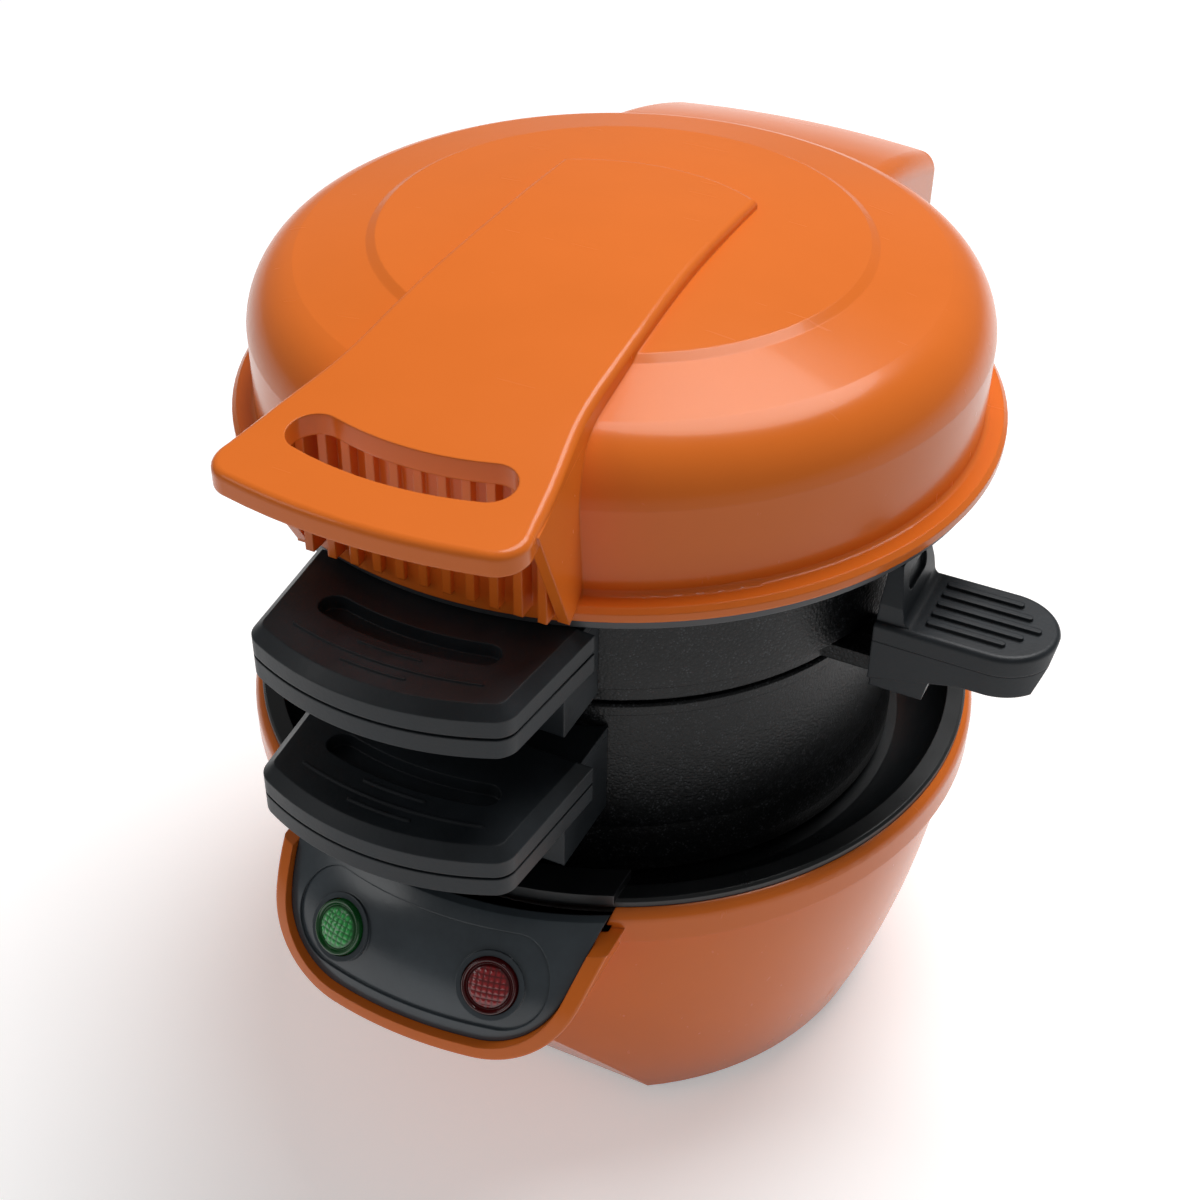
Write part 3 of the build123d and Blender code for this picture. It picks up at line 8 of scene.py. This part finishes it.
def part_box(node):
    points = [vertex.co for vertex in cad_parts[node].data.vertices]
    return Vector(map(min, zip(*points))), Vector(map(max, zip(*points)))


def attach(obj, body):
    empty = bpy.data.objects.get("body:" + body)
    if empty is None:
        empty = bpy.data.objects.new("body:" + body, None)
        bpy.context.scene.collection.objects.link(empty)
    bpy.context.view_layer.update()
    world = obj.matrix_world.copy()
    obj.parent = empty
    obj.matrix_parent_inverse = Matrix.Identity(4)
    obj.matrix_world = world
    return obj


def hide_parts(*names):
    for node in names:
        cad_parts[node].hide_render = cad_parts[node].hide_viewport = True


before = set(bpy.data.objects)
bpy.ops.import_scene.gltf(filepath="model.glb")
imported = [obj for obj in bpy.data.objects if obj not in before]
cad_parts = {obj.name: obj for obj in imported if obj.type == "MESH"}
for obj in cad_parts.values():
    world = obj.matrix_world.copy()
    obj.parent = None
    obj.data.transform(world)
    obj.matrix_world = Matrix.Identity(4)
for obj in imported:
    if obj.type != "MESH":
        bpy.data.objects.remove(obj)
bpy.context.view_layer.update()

bl_info = {
    "name": "Breakfast Sandwich Maker",
    "version": (1, 0, 0),
    "blender": (4, 5, 0),
    "location": "View3D > Sidebar > Sandwich",
    "description": "Dresses a round sandwich maker: finishes, lamp lenses and a plain studio",
    "category": "Object",
}


# ---------------------------------------------------------------- sizes taken from the frame

def corners(node):
    """Lowest and highest corners of a CAD node as two Vectors, in metres."""
    low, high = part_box(node)
    return Vector(low), Vector(high)


MM = 0.001
RING_LOW, RING_HIGH = corners("bottom_ring")
RING_X = (RING_LOW.x + RING_HIGH.x) / 2
PLATE_LOW, PLATE_HIGH = corners("lower_hot_plate")
RING_Y = (PLATE_LOW.y + PLATE_HIGH.y) / 2


def at(x, y, z):
    """A point given in millimetres about the rings' upright axis, in the frame's metres."""
    return Vector((RING_X + x * MM, RING_Y + y * MM, z * MM))


# ---------------------------------------------------------------- shader maths

class Wire:
    """A node's output socket that adds Math nodes when it is used in a sum."""

    def __init__(self, sheet, socket):
        self.sheet = sheet
        self.socket = socket

    def maths(self, operation, *others, clamp=False):
        settings = {"operation": operation, "use_clamp": clamp}
        return self.sheet.node("ShaderNodeMath", settings, self, *others)[0]

    def __add__(self, other):
        return self.maths("ADD", other)

    __radd__ = __add__

    def __sub__(self, other):
        return self.maths("SUBTRACT", other)

    def __rsub__(self, other):
        return self.sheet.node("ShaderNodeMath", {"operation": "SUBTRACT"}, other, self)[0]

    def __mul__(self, other):
        return self.maths("MULTIPLY", other)

    __rmul__ = __mul__

    def __pow__(self, other):
        return self.maths("POWER", other)

    def sine(self):
        return self.maths("SINE")

    def size(self):
        return self.maths("ABSOLUTE")

    def clamped(self):
        return self.maths("ADD", 0.0, clamp=True)

    def ramp(self, low, high, to_low=0.0, to_high=1.0):
        """The value's place between low and high, clamped and mapped onto another range."""
        return self.sheet.node("ShaderNodeMapRange", {"clamp": True}, self, low, high, to_low, to_high)[0]


class Sheet:
    """One material's node tree, with a single method that makes any node."""

    def __init__(self, name):
        self.material = bpy.data.materials.new(name)
        self.material.use_nodes = True
        self.tree = self.material.node_tree
        self.tree.nodes.clear()
        self.output = self.tree.nodes.new("ShaderNodeOutputMaterial")
        self.place = self.node("ShaderNodeTexCoord")["Object"]

    def node(self, kind, settings=None, *values, **named):
        """Makes a node, sets its settings, then fills its sockets in order and by name."""
        made = self.tree.nodes.new(kind)
        for key, value in (settings or {}).items():
            setattr(made, key, value)
        by_name = [(key.replace("_", " "), value) for key, value in named.items()]
        for socket, value in list(enumerate(values)) + by_name:
            if value is None:
                continue
            if isinstance(value, Wire):
                self.tree.links.new(value.socket, made.inputs[socket])
            else:
                made.inputs[socket].default_value = value
        return Outputs(self, made)

    def noise(self, scale, detail=3.0, roughness=0.55, where=None):
        """Cloudy value from 0 to 1, on the piece's own coordinates unless others are given."""
        return self.node("ShaderNodeTexNoise", {}, Vector=where or self.place, Scale=scale, Detail=detail,
                         Roughness=roughness)["Fac"]

    def specks(self, scale):
        """Distance from the nearest of many scattered points."""
        cells = self.node("ShaderNodeTexVoronoi", {"feature": "F1"}, Vector=self.place, Scale=scale)
        return cells["Distance"]

    def stretched(self, scale, turn=(0.0, 0.0, 0.0)):
        """The piece's own coordinates, turned and drawn out by a scale for each axis."""
        return self.node("ShaderNodeMapping", {}, self.place, Scale=scale, Rotation=turn)[0]

    def mix(self, amount, first, second):
        """Colour that runs from first to second as amount goes from 0 to 1."""
        made = self.tree.nodes.new("ShaderNodeMix")
        made.data_type = "RGBA"
        for socket, value in ((0, amount), (6, first), (7, second)):
            if isinstance(value, Wire):
                self.tree.links.new(value.socket, made.inputs[socket])
            else:
                made.inputs[socket].default_value = value
        return Wire(self, made.outputs[2])

    def bump(self, height, strength, distance, normal=None):
        """A normal that follows the height, on top of another normal where one is given."""
        return self.node("ShaderNodeBump", {}, Strength=strength, Distance=distance, Height=height,
                         Normal=normal)[0]

    def edges(self, radius):
        """A normal that rounds sharp edges by a small radius."""
        return self.node("ShaderNodeBevel", {"samples": 6}, Radius=radius)[0]

    def surface(self, **sockets):
        """Ends the sheet in a Principled shader with the given sockets."""
        shader = self.node("ShaderNodeBsdfPrincipled", {}, **sockets)
        self.tree.links.new(shader[0].socket, self.output.inputs["Surface"])
        return self.material


class Outputs:
    """A made node's outputs, by name or by place."""

    def __init__(self, sheet, made):
        self.sheet = sheet
        self.made = made

    def __getitem__(self, key):
        return Wire(self.sheet, self.made.outputs[key])


def rgb(colour):
    """A property's colour as four numbers."""
    return (colour[0], colour[1], colour[2], 1.0)


def shade(colour, factor):
    """A colour made lighter or darker, as four numbers."""
    return (colour[0] * factor, colour[1] * factor, colour[2] * factor, 1.0)


# ---------------------------------------------------------------- finishes

def orange_gloss(name, colour, roughness):
    """Glossy moulded plastic: faint cloudy colour, very fine ripple and hairline scuffs."""
    sheet = Sheet(name)
    clouds = sheet.noise(22.0, 4.0)
    fine = sheet.noise(900.0, 2.0)
    drawn = sheet.stretched((40.0, 900.0, 300.0), (0.2, 0.5, 0.9))
    hairs = sheet.noise(1.0, 2.0, where=drawn).ramp(0.70, 0.78)
    base = sheet.mix(clouds.ramp(0.35, 0.7), shade(colour, 0.97), shade(colour, 1.03))
    rough = clouds.ramp(0.3, 0.7, roughness * 0.9, roughness * 1.15) + hairs * 0.08 + fine * 0.02
    height = sheet.noise(160.0, 2.0) * 0.7 + fine * 0.12
    return sheet.surface(Base_Color=base, Roughness=rough, IOR=1.46, Specular_IOR_Level=0.28,
                         Coat_Weight=0.12, Coat_Roughness=0.05,
                         Normal=sheet.bump(height, 0.05, 0.0004, sheet.edges(0.0004)))


def satin_grip(name, colour, roughness):
    """Satin moulded plastic: fine grain with small pits, and slightly paler rubbed patches."""
    sheet = Sheet(name)
    rub = sheet.noise(70.0, 5.0, 0.6)
    grain = sheet.noise(2600.0, 2.0)
    pits = sheet.specks(1500.0)
    base = sheet.mix(rub.ramp(0.42, 0.72), shade(colour, 0.85), shade(colour, 1.35))
    rough = rub.ramp(0.35, 0.7, roughness * 0.85, roughness * 1.15) + grain * 0.06
    return sheet.surface(Base_Color=base, Roughness=rough, IOR=1.48, Specular_IOR_Level=0.35,
                         Normal=sheet.bump(grain * 0.5 + pits * 0.5, 0.18, 0.00012, sheet.edges(0.0004)))


def speckled_coating(name, colour, fleck_colour, roughness):
    """Black non-stick coating over cast metal: dense fine flecks, pitted and slightly glossy."""
    sheet = Sheet(name)
    cells = sheet.specks(1900.0)
    small = sheet.specks(3400.0)
    clouds = sheet.noise(35.0, 4.0)
    fleck = (1.0 - cells.ramp(0.18, 0.42)) * sheet.noise(620.0, 2.0).ramp(0.42, 0.66)
    dust = (1.0 - small.ramp(0.12, 0.36)) * 0.55
    spread = (fleck + dust * clouds.ramp(0.3, 0.7, 0.5, 1.0)).clamped()
    base = sheet.mix(spread, shade(colour, 1.0), rgb(fleck_colour))
    rough = clouds.ramp(0.3, 0.7, roughness * 0.85, roughness * 1.1) + spread * 0.1
    pits = cells * 0.6 + sheet.noise(1500.0, 3.0) * 0.6
    return sheet.surface(Base_Color=base, Roughness=rough, IOR=1.5, Specular_IOR_Level=0.3,
                         Normal=sheet.bump(pits, 0.55, 0.00016, sheet.edges(0.0003)))


def smooth_coating(name, colour, roughness):
    """Smooth painted or moulded surface: soft smears and a very fine grain."""
    sheet = Sheet(name)
    smears = sheet.noise(40.0, 5.0, 0.6)
    fine = sheet.noise(1400.0, 2.0)
    base = sheet.mix(smears.ramp(0.4, 0.75), shade(colour, 0.9), shade(colour, 1.5))
    rough = smears.ramp(0.3, 0.75, roughness * 0.8, roughness * 1.3)
    return sheet.surface(Base_Color=base, Roughness=rough, IOR=1.5,
                         Normal=sheet.bump(fine * 0.5 + smears, 0.08, 0.0002, sheet.edges(0.0003)))


def turned_steel(name, colour, roughness):
    """Bare steel with fine marks across its X axis, as turning leaves on a pin, and a few darker patches."""
    sheet = Sheet(name)
    lines = sheet.noise(1.0, 3.0, where=sheet.stretched((900.0, 12.0, 12.0)))
    patches = sheet.noise(120.0, 4.0)
    base = sheet.mix(patches.ramp(0.35, 0.75), shade(colour, 1.0), shade(colour, 0.72))
    rough = lines.ramp(0.3, 0.7, roughness * 0.75, roughness * 1.25)
    return sheet.surface(Base_Color=base, Metallic=1.0, Roughness=rough,
                         Normal=sheet.bump(lines, 0.1, 0.0001, sheet.edges(0.0002)))


def soft_rubber(name, colour):
    """Dull rubber with a dusty bloom and a pebbled skin."""
    sheet = Sheet(name)
    bloom = sheet.noise(90.0, 5.0, 0.65)
    skin = sheet.noise(1700.0, 3.0)
    base = sheet.mix(bloom.ramp(0.45, 0.75), shade(colour, 1.0), shade(colour, 1.9))
    return sheet.surface(Base_Color=base, Roughness=bloom.ramp(0.3, 0.7, 0.7, 0.9), IOR=1.45,
                         Normal=sheet.bump(skin, 0.2, 0.0001))


def glazed_ceramic(name, colour):
    """Glazed ceramic with pin-prick specks."""
    sheet = Sheet(name)
    prick = 1.0 - sheet.specks(700.0).ramp(0.05, 0.16)
    clouds = sheet.noise(80.0, 3.0)
    base = sheet.mix(prick * 0.5, shade(colour, 1.0), shade(colour, 0.4))
    return sheet.surface(Base_Color=base, Roughness=clouds.ramp(0.3, 0.7, 0.2, 0.35), IOR=1.5,
                         Normal=sheet.bump(clouds, 0.05, 0.0002))


def lamp_plastic(name, colour, glow, place, turn):
    """Coloured lens plastic: painted highlight on the pyramid tips and painted shade in the valleys of the
    dome, darker outside the dome, a little glow.
    """
    sheet = Sheet(name)
    local = sheet.node("ShaderNodeMapping", {"vector_type": "TEXTURE"}, sheet.place, Location=place,
                       Rotation=turn)[0]
    split = sheet.node("ShaderNodeSeparateXYZ", {}, local)
    x, y = split["X"], split["Y"]
    across = (x * (math.pi / LENS_PITCH)).sine().size()
    along = (y * (math.pi / LENS_PITCH)).sine().size()
    tips = (across * along) ** 0.8
    reach = (x * x + y * y) ** 0.5
    inside = 1.0 - reach.ramp(LENS_RADIUS * 0.66, LENS_RADIUS * 0.74)
    haze = sheet.noise(900.0, 3.0)
    # painted highlight on the pyramid tips and painted shade in the valleys between them, plus random haze;
    # outside the dome only the darkest colour, and the glow carries the same painted pattern
    painted_tip_light_and_haze = (inside * (tips * 0.85 + haze * 0.35)).clamped()
    base = sheet.mix(painted_tip_light_and_haze, shade(colour, 0.22), shade(colour, 1.5))
    return sheet.surface(Base_Color=base, Roughness=haze.ramp(0.3, 0.7, 0.10, 0.18), IOR=1.5,
                         Emission_Color=base, Emission_Strength=glow, Coat_Weight=0.4, Coat_Roughness=0.05,
                         Normal=sheet.bump(haze, 0.05, 0.0001))


def bulb_glass(name, colour):
    """Warm glass of a small neon bulb, smoked in patches."""
    sheet = Sheet(name)
    smoke = sheet.noise(300.0, 3.0)
    base = sheet.mix(smoke.ramp(0.4, 0.7), shade(colour, 1.0), shade(colour, 0.7))
    return sheet.surface(Base_Color=base, Roughness=smoke.ramp(0.3, 0.7, 0.05, 0.15), IOR=1.5, Alpha=0.45)


def studio_floor(name, colour, lift):
    """Pale matt floor with a little light of its own where it is seen, so that only shadows darken it."""
    sheet = Sheet(name)
    path = sheet.node("ShaderNodeLightPath")
    seen = (path["Is Camera Ray"] + path["Is Glossy Ray"] + path["Is Transmission Ray"]).clamped()
    clouds = sheet.noise(3.0, 2.0)
    base = sheet.mix(clouds, shade(colour, 0.995), shade(colour, 1.0))
    matt = sheet.node("ShaderNodeBsdfDiffuse", {}, Color=base)[0]
    light = sheet.node("ShaderNodeEmission", {}, Color=(1.0, 1.0, 1.0, 1.0), Strength=seen * lift)[0]
    both = sheet.node("ShaderNodeAddShader", {}, matt, light)[0]
    sheet.tree.links.new(both.socket, sheet.output.inputs["Surface"])
    return sheet.material


# ---------------------------------------------------------------- helpers for pieces

def dress(node, material):
    """Gives a CAD node one material in all its slots."""
    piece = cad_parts[node]
    if not piece.material_slots:
        piece.data.materials.append(material)
    for slot in piece.material_slots:
        slot.material = material
    return piece


def sheet_piece(name, points, faces, material, smooth=True):
    """A new mesh piece from arrays of points and faces, at the world's origin."""
    mesh = bpy.data.meshes.new(name)
    mesh.from_pydata([tuple(p) for p in points.tolist()], [], faces.tolist())
    mesh.materials.append(material)
    mesh.polygons.foreach_set("use_smooth", np.full(len(mesh.polygons), smooth))
    mesh.update()
    piece = bpy.data.objects.new(name, mesh)
    bpy.context.scene.collection.objects.link(piece)
    return piece


def round_faces(rows, columns):
    """Quads of a grid of rows by columns points whose last column joins the first."""
    row, column = np.meshgrid(np.arange(rows - 1), np.arange(columns), indexing="ij")
    here, below = row * columns, (row + 1) * columns
    step = (column + 1) % columns
    return np.stack([here + column, here + step, below + step, below + column], -1).reshape(-1, 4)


# ---------------------------------------------------------------- lamp lenses

LENS_RADIUS = 4.85 * MM
LENS_PITCH = 1.0 * MM  # from pyramid to pyramid
LENS_SINK = 0.9 * MM  # how far the dome's foot lies under the tip of the plain lens
LENS_WALL = 4.0 * MM
LENS_RINGS = 46
LENS_COLUMNS = 144

# Radii and widths on the face are shares of the lens's radius.
DOME_SHARE, DOME_RISE = 0.72, 0.55 * MM
FACET_FADE, FACET_RISE = 0.06, 0.16 * MM
GROOVE_SHARE, GROOVE_WIDTH, GROOVE_DEPTH = 0.80, 0.045, 0.35 * MM
RIM_SHARE, RIM_WIDTH, RIM_RISE = 0.92, 0.06, 0.25 * MM
EDGE_SHARE, EDGE_FALL = 0.965, 1.2 * MM


def lens_axis(node):
    """Middle of a lens's face and its outward axis, from the spread of the round node's own corners."""
    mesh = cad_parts[node].data
    points = np.empty(3 * len(mesh.vertices))
    mesh.vertices.foreach_get("co", points)
    points = points.reshape(-1, 3)
    low, high = corners(node)
    middle = np.array((low + high) / 2)
    spread, lines = np.linalg.eigh(np.cov(np.unique((points - middle).round(7), axis=0).T))
    odd = np.argmax(np.abs(spread - np.median(spread)))
    axis = lines[:, odd] * np.sign(-lines[1, odd])
    tip = ((points - middle) @ axis).max()
    return middle + axis * tip, axis


def ring_wave(reach, share, width):
    """1 on the circle at a share of the lens's radius, falling to 0 on both sides over a width."""
    return np.exp(-((reach - share * LENS_RADIUS) / (width * LENS_RADIUS)) ** 2)


def lens_points():
    """The lens's face as height over x and y: a low dome cut into pyramids, a sunken ring and a raised rim.

    Height = dome rise x (1 - (r / inner)^2) + facet rise x (1 - the larger of two triangle waves)
    - groove + rim - edge."""
    share = np.linspace(0.0, 1.0, LENS_RINGS)[:, None]
    angle = np.linspace(0.0, 2 * np.pi, LENS_COLUMNS, endpoint=False)[None, :]
    reach = LENS_RADIUS * np.sqrt(share) * 0.6 + LENS_RADIUS * share * 0.4
    x, y = reach * np.cos(angle), reach * np.sin(angle)
    inner = DOME_SHARE * LENS_RADIUS
    wave = np.maximum(np.abs((x / LENS_PITCH) % 1.0 - 0.5), np.abs((y / LENS_PITCH) % 1.0 - 0.5)) * 2
    inside = np.clip((inner - reach) / (FACET_FADE * LENS_RADIUS), 0.0, 1.0)
    dome = DOME_RISE * (1 - (reach / inner) ** 2).clip(0.0, 1.0)
    facets = FACET_RISE * (1 - wave) * inside
    groove = -GROOVE_DEPTH * ring_wave(reach, GROOVE_SHARE, GROOVE_WIDTH)
    rim = RIM_RISE * ring_wave(reach, RIM_SHARE, RIM_WIDTH)
    edge = -EDGE_FALL * np.clip((reach / LENS_RADIUS - EDGE_SHARE) / (1 - EDGE_SHARE), 0.0, 1.0) ** 2
    return np.stack([x, y, dome + facets + groove + rim + edge], -1)


def lens_mesh(node):
    """A faceted lens in place of a lens node: its round face, then a straight wall down into the collar.

    Gives the points, the faces, the middle of the face and the turn from the world's axes to the lens's."""
    tip, axis = lens_axis(node)
    side = np.cross((0.0, 0.0, 1.0), axis)
    side /= np.linalg.norm(side)
    up = np.cross(axis, side)
    face = lens_points()
    wall = face[-1:].copy()
    wall[..., 2] -= LENS_WALL
    floor = np.zeros_like(wall)
    floor[..., 2] = wall[..., 2]
    grid = np.concatenate([face, wall, floor])
    origin = tip - axis * LENS_SINK
    points = origin + grid.reshape(-1, 3) @ np.array([side, up, axis])
    turn = Matrix(np.array([side, up, axis]).T.tolist()).to_euler()
    return points, round_faces(len(grid), LENS_COLUMNS), origin, turn


# ---------------------------------------------------------------- studio

KEY_PLACE = (0.10, 0.36, 1.0)
KEY_SIZE = 0.7
FRONT_PLACE = (-0.8, -0.8, 0.8)
FRONT_SIZE = 0.5
FRONT_SHARE = 0.14  # the front lamp's power as a share of the key's
LAMP_TARGET = (0.0, 0.0, 0.1)
CAMERA_PLACE = (118.7, -258.2, 298.4)  # millimetres about the rings' axis
CAMERA_TURN = (52.23, -0.70, 25.82)  # degrees
SENSOR_WIDTH = 36.0
CLIP_START = 0.01


def area_lamp(name, place, size, power):
    """A round area lamp that faces the middle of the object."""
    data = bpy.data.lights.new(name, "AREA")
    data.shape = "DISK"
    data.size = size
    data.energy = power
    lamp = bpy.data.objects.new(name, data)
    lamp.location = place
    lamp.rotation_euler = (Vector(LAMP_TARGET) - Vector(place)).to_track_quat("-Z", "Y").to_euler()
    bpy.context.scene.collection.objects.link(lamp)


# ---------------------------------------------------------------- settings

def colour_setting(name, description, default):
    """A colour that the panel shows with a picker."""
    return bpy.props.FloatVectorProperty(name=name, description=description, subtype="COLOR", size=3, min=0,
                                         max=1, default=default)


class ShellSettings(bpy.types.PropertyGroup):
    orange: colour_setting("Orange", "Colour of the base and the lid", (0.84, 0.185, 0.020))
    gloss: bpy.props.FloatProperty(name="Gloss roughness", description="Roughness of the shells",
                                   default=0.22, min=0, max=1, subtype="FACTOR")
    panel: colour_setting("Panel", "Colour of the lamp panel", (0.050, 0.062, 0.072))
    cover: colour_setting("Cover", "Colour of the underside cover", (0.030, 0.030, 0.032))


class GripSettings(bpy.types.PropertyGroup):
    grip: colour_setting("Grip", "Colour of the handles", (0.016, 0.020, 0.024))
    roughness: bpy.props.FloatProperty(name="Grip roughness", description="Roughness of the handles",
                                       default=0.42, min=0, max=1, subtype="FACTOR")


class MetalSettings(bpy.types.PropertyGroup):
    coating: colour_setting("Coating", "Colour of the rings' coating", (0.003, 0.0035, 0.004))
    fleck: colour_setting("Fleck", "Colour of the coating's flecks", (0.060, 0.064, 0.070))
    dish: colour_setting("Dish", "Colour of the dish", (0.006, 0.007, 0.008))
    steel: colour_setting("Steel", "Colour of bare steel", (0.55, 0.55, 0.56))
    liner: colour_setting("Liner", "Colour of the lid's liner", (0.06, 0.063, 0.068))


class LampSettings(bpy.types.PropertyGroup):
    green: colour_setting("Green", "Colour of the left lens", (0.02, 0.26, 0.05))
    red: colour_setting("Red", "Colour of the right lens", (0.20, 0.008, 0.010))
    glow: bpy.props.FloatProperty(name="Glow", description="Light that the lenses give", default=0.15, min=0)


class StudioSettings(bpy.types.PropertyGroup):
    floor: colour_setting("Floor", "Colour of the floor", (0.95, 0.95, 0.95))
    floor_size: bpy.props.FloatProperty(name="Floor size", description="Side of the square floor",
                                        default=12.0, unit="LENGTH")
    focal: bpy.props.FloatProperty(name="Focal length", description="Lens of the camera in millimetres",
                                   default=56.04)
    key_power: bpy.props.FloatProperty(name="Key power", description="Power of the large lamp above",
                                       default=8.6, unit="POWER")
    surround: bpy.props.FloatProperty(name="Surround", description="Strength of the even light around",
                                      default=0.20, min=0)
    lift: bpy.props.FloatProperty(name="Floor lift", description="Light that the floor shows of its own",
                                  default=0.35, min=0)


# ---------------------------------------------------------------- operators

class SANDWICH_OT_shells(bpy.types.Operator):
    """Orange base and lid, lamp panel and underside cover"""

    bl_idname = "sandwich.shells"
    bl_label = "Shells"

    def execute(self, context):
        settings = context.scene.sandwich_shells
        orange = orange_gloss("orange_gloss", settings.orange, settings.gloss)
        dress("base_shell", orange)
        dress("lid_shell", orange)
        dress("control_panel", smooth_coating("panel_gloss", settings.panel, 0.22))
        dress("bottom_cover", satin_grip("cover_satin", settings.cover, 0.6))
        return {"FINISHED"}


class SANDWICH_OT_grips(bpy.types.Operator):
    """Satin halves of the two ring handles and the plate handle"""

    bl_idname = "sandwich.grips"
    bl_label = "Grips"

    def execute(self, context):
        settings = context.scene.sandwich_grips
        grip = satin_grip("grip_satin", settings.grip, settings.roughness)
        for place in ("bottom", "top", "plate"):
            dress(place + "_handle_top", grip)
            dress(place + "_handle_base", grip)
        return {"FINISHED"}


class SANDWICH_OT_metals(bpy.types.Operator):
    """Coated rings, plates and dish, bare pin, screws and heaters"""

    bl_idname = "sandwich.metals"
    bl_label = "Metals"

    def execute(self, context):
        settings = context.scene.sandwich_metals
        speckled = speckled_coating("ring_coating", settings.coating, settings.fleck, 0.42)
        for node in ("bottom_ring", "top_ring", "cooking_plate", "upper_hot_plate", "lower_hot_plate"):
            dress(node, speckled)
        dress("drip_dish", smooth_coating("dish_coating", settings.dish, 0.30))
        dress("lid_liner", smooth_coating("liner_coating", settings.liner, 0.40))
        steel = turned_steel("bare_steel", settings.steel, 0.30)
        for node in ("hinge_pin", "cover_screws", "bottom_handle_screws", "top_handle_screws",
                     "plate_handle_screw", "lid_screws", "plate_pivot", "thermostat", "thermal_fuse"):
            dress(node, steel)
        dark = turned_steel("heated_steel", (0.30, 0.27, 0.24), 0.5)
        dress("lower_heater", dark)
        dress("upper_heater", dark)
        return {"FINISHED"}


class SANDWICH_OT_small_parts(bpy.types.Operator):
    """Rubber feet and bush, ceramic pin and block, neon bulbs"""

    bl_idname = "sandwich.small_parts"
    bl_label = "Small parts"

    def execute(self, context):
        rubber = soft_rubber("foot_rubber", (0.025, 0.025, 0.025))
        dress("rubber_feet", rubber)
        dress("cord_bush", rubber)
        ceramic = glazed_ceramic("glazed_ceramic", (0.75, 0.73, 0.68))
        dress("thermostat_pin", ceramic)
        dress("terminal_block", ceramic)
        dress("neon_bulbs", bulb_glass("neon_glass", (0.8, 0.55, 0.4)))
        return {"FINISHED"}


class SANDWICH_OT_lenses(bpy.types.Operator):
    """Coloured, faceted lamp lenses in place of the plain ones"""

    bl_idname = "sandwich.lenses"
    bl_label = "Lenses"

    def execute(self, context):
        settings = context.scene.sandwich_lamps
        for tint, colour in (("green", settings.green), ("red", settings.red)):
            node = tint + "_lens"
            points, faces, origin, turn = lens_mesh(node)
            plastic = lamp_plastic(node + "_plastic", colour, settings.glow, origin, turn)
            dress(node, plastic)
            lens = sheet_piece(node + "_faceted", points, faces, plastic)
            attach(lens, "base")
            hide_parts(node)
        return {"FINISHED"}


class SANDWICH_OT_studio(bpy.types.Operator):
    """Pale floor, soft lamps, even surroundings and the camera"""

    bl_idname = "sandwich.studio"
    bl_label = "Studio"

    def execute(self, context):
        settings = context.scene.sandwich_studio
        half = settings.floor_size / 2
        square = np.array([(-half, -half, 0), (half, -half, 0), (half, half, 0), (-half, half, 0)])
        floor = sheet_piece("floor", square, np.array([(0, 1, 2, 3)]),
                            studio_floor("studio_floor", settings.floor, settings.lift), smooth=False)

        world = bpy.data.worlds.new("studio")
        context.scene.world = world
        world.use_nodes = True
        around = world.node_tree.nodes["Background"].inputs
        around["Color"].default_value = (1.0, 1.0, 1.0, 1.0)
        around["Strength"].default_value = settings.surround

        area_lamp("key", KEY_PLACE, KEY_SIZE, settings.key_power)
        area_lamp("front", FRONT_PLACE, FRONT_SIZE, settings.key_power * FRONT_SHARE)

        camera = bpy.data.objects.new("camera", bpy.data.cameras.new("camera"))
        context.scene.collection.objects.link(camera)
        camera.location = at(*CAMERA_PLACE)
        camera.rotation_euler = Euler([math.radians(angle) for angle in CAMERA_TURN])
        camera.data.lens = settings.focal
        camera.data.sensor_width = SENSOR_WIDTH
        camera.data.clip_start = CLIP_START
        context.scene.camera = camera
        context.scene.view_settings.view_transform = "Standard"
        return {"FINISHED"}


class SANDWICH_PT_panel(bpy.types.Panel):
    """Lists the pieces and their settings"""

    bl_label = "Sandwich Maker"
    bl_space_type = "VIEW_3D"
    bl_region_type = "UI"
    bl_category = "Sandwich"

    def draw(self, context):
        for group, operators in STEPS:
            box = self.layout.box()
            settings = getattr(context.scene, group)
            for name in settings.bl_rna.properties.keys():
                if name not in ("rna_type", "name"):
                    box.prop(settings, name)
            for operator in operators:
                box.operator(operator.bl_idname)


GROUPS = {
    "sandwich_shells": ShellSettings,
    "sandwich_grips": GripSettings,
    "sandwich_metals": MetalSettings,
    "sandwich_lamps": LampSettings,
    "sandwich_studio": StudioSettings,
}
STEPS = [
    ("sandwich_shells", [SANDWICH_OT_shells]),
    ("sandwich_grips", [SANDWICH_OT_grips]),
    ("sandwich_metals", [SANDWICH_OT_metals, SANDWICH_OT_small_parts]),
    ("sandwich_lamps", [SANDWICH_OT_lenses]),
    ("sandwich_studio", [SANDWICH_OT_studio]),
]
OPERATORS = [operator for _, operators in STEPS for operator in operators]


def register():
    for kind in [*GROUPS.values(), *OPERATORS, SANDWICH_PT_panel]:
        bpy.utils.register_class(kind)
    for name, group in GROUPS.items():
        setattr(bpy.types.Scene, name, bpy.props.PointerProperty(type=group))


def unregister():
    for name in GROUPS:
        delattr(bpy.types.Scene, name)
    for kind in reversed([*GROUPS.values(), *OPERATORS, SANDWICH_PT_panel]):
        bpy.utils.unregister_class(kind)


def main():
    register()
    for operator in OPERATORS:
        area, name = operator.bl_idname.split(".")
        getattr(getattr(bpy.ops, area), name)()


if __name__ == "__main__":
    main()
